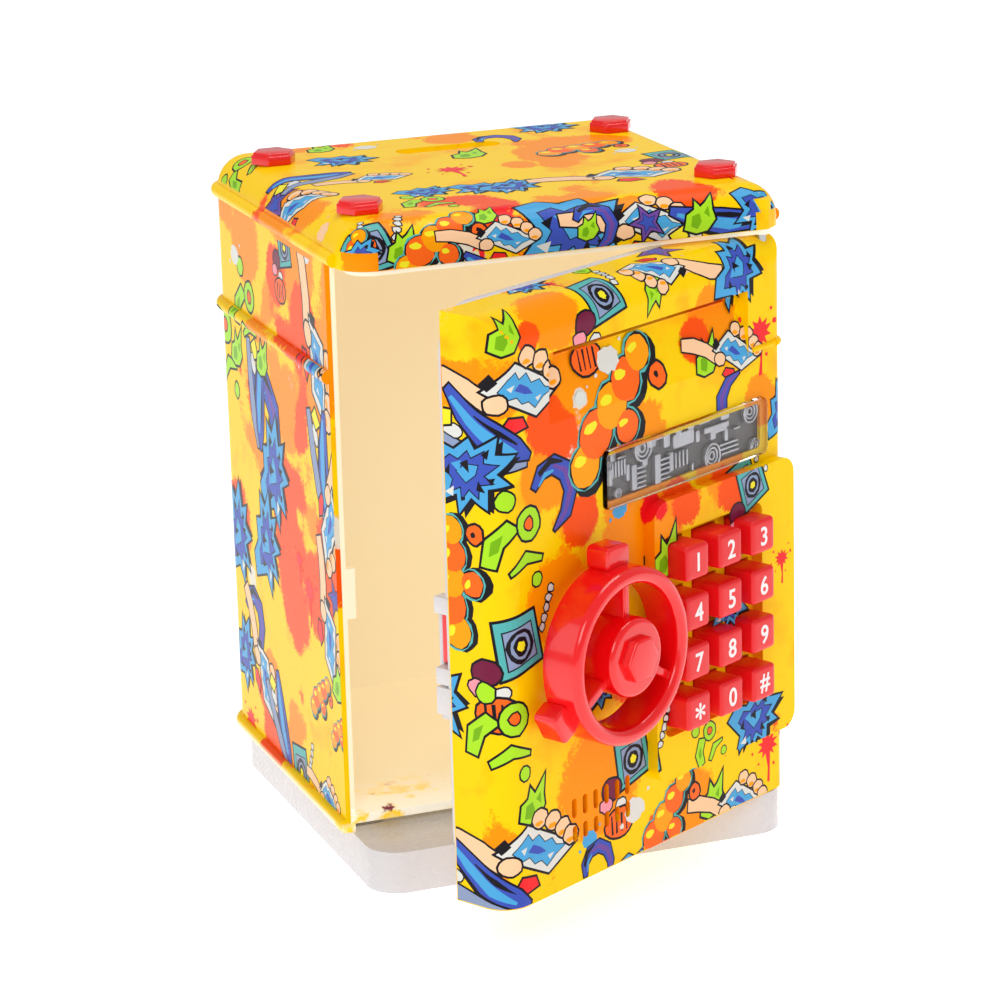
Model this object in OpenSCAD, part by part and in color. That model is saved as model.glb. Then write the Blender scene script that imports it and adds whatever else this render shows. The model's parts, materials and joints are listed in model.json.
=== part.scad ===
// Toy safe coin bank: a box with a bolted lid, a hinged keypad door with a turning handle,
// a motor-fed note slot and a coin slot. Millimetres, +Z up, front faces -Y.
// Origin: centre of the flat underside of the base.
// The door parts are drawn with the door shut and then swung open about the hinge pins.

/* [Cabinet] */
// Width of the lid and the cabinet
body_w = 130; // [110:1:170]
// Depth of the lid, front to back
body_d = 125.5; // [110:0.5:170]
// Height from the table to the top of the lid
body_h = 190; // [165:1:250]
// Thickness of the cabinet walls
wall = 2.8; // [2.4:0.1:3.4]
// Radius of the upright corners and of the lid's top edges
corner_r = 9.5; // [8:0.5:12]
// Radius of the half-round beads round the lid and the cabinet
bead_r = 2; // [1:0.1:2.2]
// Height of the cabinet's upper bead above the table
rib_z = 145.5; // [100:0.5:150]

/* [Lid] */
// Height of the printed part of the lid
lid_h = 12.2; // [12:0.1:18]
// Height of the plain lip below the lid
lip_h = 1.4; // [1.2:0.1:3]
// Thickness of the lid's walls and ceiling
lid_wall = 2.5; // [2:0.1:3]
// Distance of the bolts from the sides of the lid
bolt_side = 12; // [11:0.5:20]
// Distance of the front bolts from the front of the lid
bolt_front = 21.6; // [14:0.1:30]
// Distance of the rear bolts from the back of the lid
bolt_rear = 26.2; // [14:0.1:34]
// Width of a bolt head across its corners
bolt_d = 13.4; // [9:0.1:15]
// Height of a bolt head
bolt_h = 3.5; // [2:0.1:5]
// Length of the coin slot
coin_l = 29; // [26:1:34]
// Width of the coin slot
coin_w = 4.6; // [4.5:0.1:6]
// Distance of the coin slot from the back of the lid
coin_rear = 29; // [22:0.5:40]

/* [Base] */
// Height of the base tray
base_h = 12.2; // [11:0.1:20]
// How far the base stands inside the cabinet's sides and back
base_inset = 1.8; // [1:0.1:3]
// How far the base stands out in front of the lid
base_step = 2.9; // [0.5:0.1:4]
// Thickness of the base tray's walls
base_wall = 2.4; // [2:0.1:3]
// Diameter of the screw shanks that hold the base
base_screw_d = 3; // [2.5:0.1:3.5]

/* [Door] */
// How far the door's ends stand inside the cabinet's sides
door_side = 2.5; // [2:0.1:5]
// Thickness of the printed door shell
door_t = 18.3; // [17:0.1:22]
// Thickness of the door's walls
door_wall = 2.2; // [1.8:0.1:2.6]
// How far the shut door stands behind the front of the base
door_set = 1.4; // [0.2:0.1:3]
// Radius of the door's free edge and top edge
door_r = 8; // [5:0.5:10]
// How far the hinge line is from the door's front and end
hinge_inset = 4.5; // [4:0.1:5.5]
// Diameter of the hinge pins
pin_d = 3; // [2.5:0.1:3.4]
// Gap above and below the door
door_gap = 0.5; // [0.5:0.1:1.5]
// Angle that the door stands open
door_open = 28.8; // [0:0.1:90]
// Depth of the door's inner cover
cover_t = 3.7; // [3:0.1:5]

/* [Keypad] */
// Width of a key
key_w = 10.3; // [8:0.1:11]
// Height of a key
key_h = 9.8; // [8:0.1:11]
// Distance between key columns
key_pitch_x = 15; // [13:0.1:16]
// Distance between key rows
key_pitch_z = 14.4; // [13:0.1:15]
// How far the keys stand out of the door's front
key_out = 9.9; // [6:0.1:11]
// How far a key travels
key_travel = 1.2; // [0.6:0.1:1.5]
// Height of the keypad's raised frame
frame_out = 3.5; // [2:0.1:5]

/* [Handle] */
// Diameter of the handle's rim
wheel_d = 49; // [44:0.5:52]
// Depth of the handle's rim
wheel_depth = 12; // [8:0.5:14]
// Thickness of the rim's wall
rim_wall = 4.6; // [3:0.1:6]
// Diameter of the handle's hub
hub_d = 22; // [18:0.5:24]
// Diameter of the spindle behind the hub
spindle_d = 8; // [7:0.1:9]
// How far the latch bolt comes out
bolt_travel = 6.1; // [4:0.1:7]

/* [Window and slot] */
// Width of the window
window_w = 72.5; // [60:0.5:80]
// Height of the window
window_h = 16.7; // [12:0.1:20]
// Width of the note slot
note_w = 74; // [60:1:78]
// Height of the note slot
note_h = 2; // [1.4:0.1:2.4]

/* [Hidden] */
$fn = 64;
eps = 0.01;
run_gap = 0.05;      // radial clearance of every shaft in its bore
fit_gap = 0.2;       // clearance between fixed pieces that slot together
slide_gap = 0.35;    // clearance round pieces that slide

// cabinet levels and faces
base_d = body_d + base_step - base_inset;
base_w = body_w - 2 * base_inset;
base_front = -base_d / 2;
lid_front = base_front + base_step;
rear = base_d / 2 + base_inset;
side = body_w / 2;
lid_z = body_h - lid_h;
lip_z = lid_z - lip_h;
floor_t = 2.5;
floor_top = base_h + 5;
bead_z_lid = lid_z + bead_r;
bead_z_base = base_h + bead_r;

// door levels and faces, with the door shut
door_w = body_w - 2 * door_side;
door_front_y = base_front + door_set;
door_rear_y = door_front_y + door_t;
door_x1 = door_w / 2 + 0.2;
door_x0 = door_x1 - door_w;
door_z0 = base_h + door_gap;
door_z1 = lip_z - door_gap;
door_h = door_z1 - door_z0;
door_in_y = door_front_y + door_wall;
wall_front = door_rear_y + 1.2;
hinge_x = door_x1 - hinge_inset;
hinge_y = door_front_y + hinge_inset;
pin_hold = 7;
cover_y = door_rear_y + cover_t;
cover_x0 = door_x0 + 3.3;
cover_x1 = door_x1 - 2.5;
cover_z0 = floor_top + 1;
cover_z1 = door_z1 - 0.3;
cover_r = 12;

// keypad
key_mid_x = door_x1 - 38.25;
key_mid_z = door_z0 + 60.9;
pocket_w = 2 * key_pitch_x + key_w + 5;
pocket_h = 3 * key_pitch_z + key_h + 5;
frame_z0 = key_mid_z - 41.6;
frame_z1 = key_mid_z + 39;
frame_x0 = key_mid_x - pocket_w / 2 - 3.5;
key_flange = 1;
flange_y = door_in_y + key_travel / 6;
flange_t = 1;
board_y = flange_y + flange_t + key_travel + 1.6;
board_t = 1.6;

// handle, latch and lock
wheel_x = door_x1 - 88.9;
wheel_z = door_z0 + 65.8;
wheel_out = 15.6;
lug_r = 30.2;
lug_w = 9.4;
tooth_m = 1;
pinion_teeth = 14;
pinion_r = tooth_m * pinion_teeth / 2;
bolt_y0 = cover_y + slide_gap;
latch_t = 4;
bar_z1 = wheel_z - pinion_r - 1.3 * tooth_m;
bar_z0 = bar_z1 - 6.6;
head_z0 = wheel_z - 1.5;
head_z1 = wheel_z + 13.1;
head_l = 11.3;
bolt_x0 = door_x0 + 6.4;
bolt_x1 = wheel_x + pinion_r + 2;
flange_x0 = bolt_x0 - 3.4;
flange_x1 = bolt_x0 + head_l - bolt_travel - 4.8;
flange_h = 4.6;
stop_h = 7.6;
tab_z0 = head_z0 - 1.5;
tab_z1 = head_z1 - 1.5;
tab_t = 2.2;
tab_w = 2.6;
plunger_x = bolt_x0 + 16;
plunger_z = (bar_z0 + bar_z1) / 2;
plunger_r = 1.5;
plunger_travel = 1.8;
ramp_gap = 0.45;
rack_teeth = 5;
latch_y1 = bolt_y0 + latch_t;

// window, note slot and feeder
window_x = door_x1 - 2 * hinge_inset - 0.5 - window_w / 2;
window_z = door_z0 + 110.4;
recess_x0 = door_x1 - 103.4;
recess_x1 = door_x1 - 16.7;
recess_z0 = door_z1 - 32.4;
recess_z1 = door_z1 - 13.2;
recess_deep = 3.6;
note_x = (recess_x0 + recess_x1) / 2;
note_z = recess_z1 - note_h / 2 - 0.2;
roller_r = 3.3;
roller_shaft_r = 1.5;
roller_y = door_front_y + 11.5;
feed_z = note_z + roller_r + 0.2;
pinch_z = note_z - roller_r - 0.2;
gear_teeth = 12;
motor_teeth = 8;
gear_r = tooth_m * gear_teeth / 2;
motor_r = tooth_m * motor_teeth / 2;
motor_z = feed_z - gear_r - motor_r - 0.1;
frame_plate_t = 2;
gear_t = 3.6;
gear_x0 = recess_x0 - door_wall - 0.4 - gear_t;
frame_x_left = note_x - note_w / 2 - 3;
frame_x_right = note_x + note_w / 2 + 3;

// speaker and batteries
speaker_x = door_x1 - 85.2;
speaker_z = door_z0 + 17.8;
speaker_r = 14;
cell_d = 14.2;
cell_l = 49.2;
battery_x0 = door_x1 - 61;
battery_x1 = door_x1 - 6;
battery_z0 = cover_z0 + 1;
battery_h = 3 * cell_d + 6;
battery_y0 = board_y + board_t + 0.8;
battery_y1 = battery_y0 + cell_d + 3.4;

// ---------- shared shapes ----------

// flat rounded rectangle from corner a to corner b
module rounded_rect(a, b, r) {
    translate([a[0] + r, a[1]]) square([b[0] - a[0] - 2 * r, b[1] - a[1]]);
    translate([a[0], a[1] + r]) square([b[0] - a[0], b[1] - a[1] - 2 * r]);
    for (x = [a[0] + r, b[0] - r], y = [a[1] + r, b[1] - r]) translate([x, y]) circle(r);
}

// upright block with rounded upright corners and a rounded top, all of one radius
module domed_block(a, b, r) {
    $fn = 48;
    intersection() {
        union() {
            linear_extrude(b[2] - r) rounded_rect(a, b, r);
            translate([a[0] + r, a[1] + r, 0]) cube([b[0] - a[0] - 2 * r, b[1] - a[1] - 2 * r, b[2]]);
            for (x = [a[0] + r, b[0] - r])
                translate([x, a[1] + r, b[2] - r]) rotate([-90, 0, 0]) cylinder(r = r, h = b[1] - a[1] - 2 * r);
            for (y = [a[1] + r, b[1] - r])
                translate([a[0] + r, y, b[2] - r]) rotate([0, 90, 0]) cylinder(r = r, h = b[0] - a[0] - 2 * r);
            for (x = [a[0] + r, b[0] - r], y = [a[1] + r, b[1] - r]) translate([x, y, b[2] - r]) sphere(r);
        }
        translate([a[0], a[1], a[2]]) cube([b[0] - a[0], b[1] - a[1], b[2] - a[2]]);
    }
}

// half-round bead round the left, back and right of the cabinet at height z
module side_bead(z, front_y) {
    run = rear - corner_r - front_y;
    for (s = [-1, 1]) {
        translate([s * side, front_y, z]) rotate([-90, 0, 0]) cylinder(r = bead_r, h = run);
        translate([s * (side - corner_r), rear - corner_r, z]) rotate([0, 0, s > 0 ? 0 : 90])
            rotate_extrude(angle = 90) translate([corner_r, 0]) circle(bead_r);
    }
    translate([-side + corner_r, rear, z]) rotate([0, 90, 0]) cylinder(r = bead_r, h = 2 * (side - corner_r));
}

// places a shape drawn in the plane of the door's front: x across, y up, thickness from y0 to y1
module on_door(y0, y1) {
    translate([0, y1, 0]) rotate([90, 0, 0]) linear_extrude(y1 - y0) children();
}

// swings what is drawn with the door shut to the angle at which the door stands
module door_place() {
    translate([hinge_x, hinge_y, 0]) rotate([0, 0, door_open]) translate([-hinge_x, -hinge_y, 0]) children();
}

// cylinder along the door's thickness, from y0 to y1, centred on x, z
module door_cyl(x, z, y0, y1, r) { translate([x, y0, z]) rotate([-90, 0, 0]) cylinder(r = r, h = y1 - y0); }

// cylinder across the door from x0 to x1
module cross_cyl(x0, x1, y, z, r) { translate([x0, y, z]) rotate([0, 90, 0]) cylinder(r = r, h = x1 - x0); }

// flat spur gear outline with straight-sided teeth
module gear_outline(teeth) {
    r = tooth_m * teeth / 2;
    root = r - 1.15 * tooth_m;
    tip = r + 0.8 * tooth_m;
    circle(root + 0.05);
    for (i = [0:teeth - 1]) rotate([0, 0, i * 360 / teeth]) polygon([
        [root - 0.3, -0.9 * tooth_m], [r, -0.66 * tooth_m], [tip, -0.28 * tooth_m],
        [tip, 0.28 * tooth_m], [r, 0.66 * tooth_m], [root - 0.3, 0.9 * tooth_m]]);
}

// ---------- cabinet ----------

bolt_places = [for (x = [-side + bolt_side, side - bolt_side], y = [lid_front + bolt_front, rear - bolt_rear])
    [x, y]];
base_posts = [for (x = [-1, 1], y = [wall_front + 12, rear - 16]) [x * (side - wall - 8), y]];

module lip_outline(inset) {
    rounded_rect([-side + wall + fit_gap + inset, lid_front + 1.2 + inset],
        [side - wall - fit_gap - inset, rear - wall - fit_gap - inset], corner_r - wall);
}

module top_cap() color("gold") difference() {
    union() {
        difference() {
            domed_block([-side, lid_front, lid_z], [side, rear, body_h], corner_r);
            domed_block([-side + lid_wall, lid_front + lid_wall, lid_z - 1],
                [side - lid_wall, rear - lid_wall, body_h - lid_wall], corner_r - lid_wall);
        }
        translate([0, 0, lip_z]) linear_extrude(lip_h + 2) difference() {
            lip_outline(0);
            lip_outline(1.8);
        }
        translate([0, 0, lip_z]) linear_extrude(lip_h + 1) intersection() {
            lip_outline(0);
            translate([-side, lid_front]) square([2 * side, wall_front - lid_front]);
        }
        side_bead(bead_z_lid, lid_front + corner_r);
        translate([hinge_x, hinge_y, lip_z]) cylinder(r = pin_d / 2 + 1.3, h = pin_hold + 3);
        for (p = bolt_places) translate([p[0], p[1], body_h - lid_wall - 6]) cylinder(d = 9, h = 6 + eps);
        translate([0, rear - coin_rear, body_h - lid_wall - 3])
            linear_extrude(4)
                rounded_rect([-coin_l / 2 - 4, -coin_w / 2 - 4], [coin_l / 2 + 4, coin_w / 2 + 4], 5);
    }
    translate([hinge_x, hinge_y, lip_z - 1]) cylinder(r = pin_d / 2, h = pin_hold + 1);
    for (p = bolt_places) translate([p[0], p[1], body_h - 12]) cylinder(d = 5, h = 20);
    translate([0, rear - coin_rear, 0]) {
        translate([0, 0, body_h - 12]) linear_extrude(20)
            rounded_rect([-coin_l / 2, -coin_w / 2], [coin_l / 2, coin_w / 2], coin_w / 2 - eps);
        translate([0, 0, body_h - 1.6]) linear_extrude(5)
            rounded_rect([-coin_l / 2 - 1.6, -coin_w / 2 - 1.6], [coin_l / 2 + 1.6, coin_w / 2 + 1.6],
                coin_w / 2 + 1.4);
    }
}

module cabinet_shell() color("gold") difference() {
    union() {
        translate([0, 0, base_h]) linear_extrude(lid_z - base_h) difference() {
            cabinet_outline(0);
            cabinet_outline(wall);
        }
        translate([0, 0, floor_top - floor_t]) linear_extrude(floor_t) cabinet_outline(wall - eps);
        side_bead(rib_z, wall_front);
        side_bead(bead_z_base, wall_front);
        translate([-side + wall - eps, wall_front, tab_z0]) cube([tab_w, tab_t, tab_z1 - tab_z0]);
        for (p = base_posts) translate([p[0], p[1], base_h]) cylinder(d = 8, h = floor_top - base_h - eps);
    }
    for (p = base_posts) translate([p[0], p[1], base_h - 1])
        cylinder(d = base_screw_d, h = floor_top - base_h - 0.2);
}

module cabinet_outline(inset) {
    r = corner_r - inset;
    intersection() {
        rounded_rect([-side + inset, lid_front - 30], [side - inset, rear - inset], r);
        translate([-side, wall_front]) square([2 * side, rear - wall_front]);
    }
}

module base_outline(inset) {
    rounded_rect([-base_w / 2 + inset, base_front + inset], [base_w / 2 - inset, base_d / 2 - inset],
        corner_r - inset);
}

module base_tray() color("whitesmoke") difference() {
    union() {
        linear_extrude(base_wall) base_outline(0);
        linear_extrude(base_h) difference() {
            base_outline(0);
            base_outline(base_wall);
        }
        translate([0, 0, base_h - base_wall]) linear_extrude(base_wall) intersection() {
            base_outline(0);
            translate([-side, base_front]) square([2 * side, wall_front - base_front + 4]);
        }
        translate([hinge_x, hinge_y, base_wall - eps]) cylinder(r = pin_d / 2 + 2, h = base_h - base_wall);
        for (p = base_posts) translate([p[0], p[1], base_wall - eps]) cylinder(d = 8, h = base_h - base_wall);
    }
    translate([hinge_x, hinge_y, base_h - pin_hold]) cylinder(r = pin_d / 2, h = pin_hold + 1);
    for (p = base_posts) translate([p[0], p[1], -1]) {
        cylinder(d = base_screw_d + 0.4, h = base_h + 2);
        cylinder(d = 6.4, h = 3.4);
    }
}

module bolt_caps() color("red") for (p = bolt_places) translate([p[0], p[1], body_h]) {
    cylinder(d = bolt_d, h = bolt_h - 0.8, $fn = 6);
    translate([0, 0, bolt_h - 0.8 - eps]) cylinder(d = bolt_d - 1.2, h = 0.8, $fn = 6);
    translate([0, 0, -8]) cylinder(d = 5, h = 8 + eps);
}

module base_screws() color("silver") for (p = base_posts) translate([p[0], p[1], 0.5]) difference() {
    union() {
        cylinder(d = 5.8, h = 1.9);
        cylinder(d = base_screw_d, h = floor_top - 2);
    }
    for (a = [0, 90]) rotate([0, 0, a]) translate([-1.7, -0.4, -1]) cube([3.4, 0.8, 2]);
}

module hinge_pins() color("silver") translate([hinge_x, hinge_y, 0]) {
    translate([0, 0, base_h - pin_hold]) cylinder(d = pin_d, h = pin_hold + door_gap + pin_hold);
    translate([0, 0, door_z1 - pin_hold]) cylinder(d = pin_d, h = pin_hold + door_gap + pin_hold);
}

// ---------- door shell ----------

module door_block(inset, y_out) {
    r = door_r - inset;
    rh = hinge_inset - inset;
    x0 = door_x0 + inset;
    x1 = door_x1 - inset;
    y0 = door_front_y + inset;
    z1 = door_z1 - inset;
    intersection() {
        translate([0, 0, door_z0 + inset]) linear_extrude(door_h - 2 * inset) {
            translate([x0 + r, y0]) square([x1 - x0 - r - rh, y_out - y0]);
            translate([x0, y0 + r]) square([x1 - x0, y_out - y0 - r]);
            translate([x1 - 2 * rh, y0 + rh]) square([2 * rh, y_out - y0 - rh]);
            translate([x0 + r, y0 + r]) circle(r);
            translate([x1 - rh, y0 + rh]) circle(rh);
        }
        translate([x0 - 1, 0, 0]) rotate([90, 0, 90]) linear_extrude(x1 - x0 + 2) {
            translate([y0 + r, 0]) square([y_out - y0 - r, z1]);
            translate([y0, 0]) square([r + eps, z1 - r]);
            translate([y0 + r, z1 - r]) circle(r);
        }
    }
}

module recess_cut() translate([recess_x0, 0, 0]) rotate([90, 0, 90]) linear_extrude(recess_x1 - recess_x0)
    polygon([[door_front_y - 1, recess_z0 - 4], [door_front_y, recess_z0],
        [door_front_y + recess_deep, recess_z1 - note_h - 0.6], [door_front_y + recess_deep, recess_z1],
        [door_front_y - 1, recess_z1]]);

module key_holes(grow) for (i = [-1:1], j = [-1.5:1.5])
    translate([key_mid_x + i * key_pitch_x - key_w / 2 - grow, key_mid_z + j * key_pitch_z - key_h / 2 - grow])
        square([key_w + 2 * grow, key_h + 2 * grow]);

module speaker_slots() {
    for (row = [0, 1], i = [0:5]) translate([speaker_x - 11.5 + i * 4.6, speaker_z + (row == 0 ? -5.6 : 1.2)])
        rounded_rect([-1, 0], [1, row == 0 ? 4.6 : 5.6], 0.99);
}

cover_screws = [
    [door_x0 + 9, door_z0 + 12], [battery_x0 - 5, door_z0 + 12],
    [door_x0 + 9, window_z], [recess_x1 - 0.3, door_z1 - 28]];

module door_front() color("orange") door_place() difference() {
    union() {
        difference() {
            union() {
                door_block(0, door_rear_y);
                // raised keypad frame
                on_door(door_front_y - frame_out, door_front_y + 1)
                    rounded_rect([frame_x0, frame_z0], [door_x1 - 0.4, frame_z1], 5);
                // bead that carries the cabinet's line across the hinge edge
                cross_cyl(door_x1 - 15, door_x1 - hinge_inset, door_front_y, rib_z, 0.8);
                translate([door_x1, hinge_y, rib_z]) rotate([-90, 0, 0])
                    cylinder(r = 1.3, h = door_t - hinge_inset - 1);
                translate([hinge_x, hinge_y, rib_z]) rotate([0, 0, -90]) rotate_extrude(angle = 90)
                    translate([hinge_inset, 0]) circle(1.1);
            }
            difference() {
                door_block(door_wall, door_rear_y + 1);
                // solid hinge column
                translate([door_x1 - 2 * hinge_inset, door_front_y, 0])
                    cube([2 * hinge_inset, 2 * hinge_inset, body_h]);
                // thick web behind the recess
                translate([recess_x0 - 2, door_front_y, recess_z0 - 2])
                    cube([recess_x1 - recess_x0 + 4, recess_deep + door_wall, recess_z1 - recess_z0 + 4]);
            }
        }
        door_cyl(wheel_x, wheel_z, door_front_y - 1.6, door_in_y + 4, spindle_d / 2 + 4);
        for (p = cover_screws) door_cyl(p[0], p[1], door_in_y - eps, door_rear_y - 0.2, 2.6);
    }
    recess_cut();
    on_door(door_front_y - 1, door_front_y + 12)
        translate([note_x - note_w / 2, note_z - note_h / 2]) square([note_w, note_h]);
    on_door(door_front_y - 9, door_front_y)
        rounded_rect([key_mid_x - pocket_w / 2, key_mid_z - pocket_h / 2],
            [key_mid_x + pocket_w / 2, key_mid_z + pocket_h / 2], 3);
    on_door(door_front_y - 9, door_in_y + 1) key_holes(slide_gap);
    // window opening and the step that its lens seats in
    on_door(door_front_y - 9, door_in_y + 1)
        rounded_rect([window_x - window_w / 2 + 2, window_z - window_h / 2 + 2],
            [window_x + window_w / 2 - 2, window_z + window_h / 2 - 2], 1.5);
    on_door(door_front_y - 9, door_front_y + 1)
        rounded_rect([window_x - window_w / 2, window_z - window_h / 2],
            [window_x + window_w / 2, window_z + window_h / 2], 2);
    on_door(door_front_y - 1, door_in_y + 1) speaker_slots();
    door_cyl(wheel_x, wheel_z, door_front_y - 9, door_in_y + 9, spindle_d / 2 + run_gap);
    for (p = cover_screws) door_cyl(p[0], p[1], door_rear_y - 9, door_rear_y + 1, 1.2);
    for (z = [door_z0 - 1, door_z1 - pin_hold - 0.5])
        translate([hinge_x, hinge_y, z]) cylinder(r = pin_d / 2 + run_gap, h = pin_hold + 1.5);
}

// inner cover of the door with the tub that holds the cells and the slot where notes come out
module door_back() color("white") door_place() difference() {
    union() {
        on_door(door_rear_y, cover_y) rounded_rect([cover_x0, cover_z0], [cover_x1, cover_z1], cover_r);
        // locating rim inside the door shell
        on_door(door_rear_y - 3, door_rear_y + 0.5) difference() {
            rounded_rect([door_x0 + door_wall + fit_gap, door_z0 + door_wall + 3],
                [hinge_x - hinge_inset - 2, door_z1 - door_wall - fit_gap], 6);
            rounded_rect([door_x0 + door_wall + 1.8, door_z0 + door_wall + 4.6],
                [hinge_x - hinge_inset - 3.6, door_z1 - door_wall - 1.8], 5);
            translate([note_x - note_w / 2 - 8, note_z - 30]) square([note_w + 14, 60]);
        }
        // tub round the cells
        translate([battery_x0, battery_y0 + 2, battery_z0])
            cube([battery_x1 - battery_x0, battery_y1 - battery_y0 - 2, battery_h]);
        // rails above and below the latch bolt, and the flanges that its head comes out between
        for (z = [bar_z0 - slide_gap - 2, head_z1 + slide_gap])
            translate([flange_x1 - 1, cover_y - eps, z])
                cube([bolt_x1 - flange_x1 + 4, latch_t + 2 * slide_gap, 2]);
        for (f = [[bar_z0, stop_h], [head_z0 - slide_gap - flange_h, flange_h],
                [head_z1 + slide_gap, flange_h]])
            translate([flange_x0, door_rear_y + 1, f[0]])
                cube([flange_x1 - flange_x0, cover_y - door_rear_y - 1 + latch_t, f[1]]);
    }
    translate([battery_x0 + 1.6, battery_y0 + 1, battery_z0 + 1.6])
        cube([battery_x1 - battery_x0 - 3.2, battery_y1 - battery_y0, battery_h - 3.2]);
    // note outlet
    on_door(door_rear_y - 4, cover_y + 1) translate([note_x - note_w / 2, note_z - 1.8]) square([note_w, 3.6]);
    door_cyl(wheel_x, wheel_z, door_rear_y - 4, cover_y + 1, spindle_d / 2 + run_gap);
    door_cyl(plunger_x, plunger_z, door_rear_y - 4, cover_y + 1, plunger_r + run_gap);
    for (p = cover_screws) {
        door_cyl(p[0], p[1], door_rear_y - 4, cover_y + 1, 1.7);
        door_cyl(p[0], p[1], cover_y - 1.6, cover_y + 1, 3);
    }
}

module window_lens() color([0.85, 0.88, 0.9, 0.4]) door_place()
    on_door(door_front_y - 1.6, door_front_y + 1 - eps)
        rounded_rect([window_x - window_w / 2 + fit_gap, window_z - window_h / 2 + fit_gap],
            [window_x + window_w / 2 - fit_gap, window_z + window_h / 2 - fit_gap], 1.8);

// moulded relief behind the window: two rings, plates and bars
module relief_plate() color("silver") door_place() {
    on_door(door_in_y + 0.2, door_in_y + 1.4)
        rounded_rect([window_x - window_w / 2 - 0.3, window_z - window_h / 2 - 1],
            [window_x + window_w / 2 + 0.3, window_z + window_h / 2 + 1], 1);
    for (x = [-16, 13]) difference() {
        door_cyl(window_x + x, window_z, door_in_y - 1, door_in_y + 0.3, 4.4);
        door_cyl(window_x + x, window_z, door_in_y - 2, door_in_y, 2.4);
    }
    for (x = [-29, -25.5, -4, -0.5, 3]) on_door(door_in_y - 0.8, door_in_y + 0.3)
        translate([window_x + x, window_z - 4]) square([2, 8]);
}

module led(x, z, tint) color(tint) door_place() {
    door_cyl(x, z, door_in_y + 1.8, board_y, 2.4);
    for (s = [-1, 1]) door_cyl(x + s * 1.2, z, board_y - 1, board_y + board_t + 0.6, 0.3);
}
module red_led() led(window_x - window_w / 2 + 5, window_z, "red");
module green_led() led(window_x + window_w / 2 - 5, window_z, "green");

module circuit_board() color("darkgreen") door_place()
    on_door(board_y, board_y + board_t) difference() {
        rounded_rect([frame_x0 + 4, key_mid_z - pocket_h / 2],
            [door_x1 - 2 * hinge_inset - 1.5, window_z + window_h / 2], 1.5);
        for (s = [-1, 1]) for (led_x = [window_x - window_w / 2 + 5, window_x + window_w / 2 - 5])
            translate([led_x + s * 1.2, window_z]) circle(0.4);
    }

module board_chips() color("black") door_place() {
    for (x = [0, 18, 34]) translate([door_x1 - 52.4 + x, board_y + board_t, frame_z1 - 2]) cube([9, 1.6, 7]);
    translate([frame_x0 + 14, board_y + board_t, frame_z1 - 12]) cube([24, 1.2, 6]);
}

// rubber mat with a dome under every key
module key_domes() color("dimgray") door_place() {
    on_door(board_y - 0.8, board_y)
        translate([key_mid_x - pocket_w / 2 + 1, key_mid_z - pocket_h / 2 + 1])
            square([pocket_w - 2, pocket_h - 2]);
    for (i = [-1:1], j = [-1.5:1.5])
        door_cyl(key_mid_x + i * key_pitch_x, key_mid_z + j * key_pitch_z,
            flange_y + flange_t + key_travel + 0.1, board_y - 0.7, 2.4);
}

module speaker_basket() color("dimgray") door_place() translate([speaker_x, 0, speaker_z]) difference() {
    union() {
        door_cyl(0, 0, door_in_y + 0.2, door_in_y + 1.4, speaker_r);
        door_cyl(0, 0, door_in_y + 1.3, door_in_y + 5, speaker_r - 3);
    }
    door_cyl(0, 0, door_in_y, door_in_y + 4, speaker_r - 4.2);
}
module speaker_cone() color("black") door_place()
    translate([speaker_x, door_in_y + 1, speaker_z]) rotate([-90, 0, 0]) rotate_extrude()
        polygon([[0, 1.4], [3, 1.4], [9.6, 0], [9.6, 0.5], [3, 2.4], [0, 2.4]]);
module speaker_magnet() color("silver") door_place()
    door_cyl(speaker_x, speaker_z, door_in_y + 5, door_in_y + 9, 6.5);

module battery_cells() color("seagreen") door_place() for (i = [0:2]) {
    z = battery_z0 + 3 + cell_d * (i + 0.5);
    x = battery_x0 + (battery_x1 - battery_x0 - cell_l) / 2;
    cross_cyl(x, x + cell_l - 1.2, battery_y0 + 1.6 + cell_d / 2, z, cell_d / 2 - 0.2);
    cross_cyl(x + cell_l - 1.3, x + cell_l, battery_y0 + 1.6 + cell_d / 2, z, 2.6);
}

module battery_contacts() color("silver") door_place() for (i = [0:2], x = [battery_x0 + 1.8, battery_x1 - 2.3])
    translate([x, battery_y0 + 3.6, battery_z0 + 4.5 + cell_d * i]) cube([0.5, 8, 11]);

module battery_cover() color("white") door_place() difference() {
    translate([battery_x0 + 1.8, battery_y1 - 1.8, battery_z0 + 1.8])
        cube([battery_x1 - battery_x0 - 3.6, 1.8, battery_h - 3.6]);
    for (i = [0:5]) translate([battery_x0 + 16 + i * 4, battery_y1 - 0.5, battery_z0 + 8]) cube([1.6, 1, 16]);
    door_cyl((battery_x0 + battery_x1) / 2, battery_z0 + battery_h - 6, battery_y1 - 3, battery_y1 + 1, 1.4);
}
module battery_screw() color("silver") door_place() {
    door_cyl((battery_x0 + battery_x1) / 2, battery_z0 + battery_h - 6, battery_y1, battery_y1 + 1.2, 2.5);
    door_cyl((battery_x0 + battery_x1) / 2, battery_z0 + battery_h - 6, battery_y1 - 2, battery_y1 + 0.1, 1.3);
}

module door_screws() color("silver") door_place() for (p = cover_screws) {
    door_cyl(p[0], p[1], cover_y - 1.6, cover_y - 0.2, 2.7);
    door_cyl(p[0], p[1], door_rear_y - 7, cover_y - 1.5, 1.2);
}

// ---------- note feeder ----------

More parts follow.
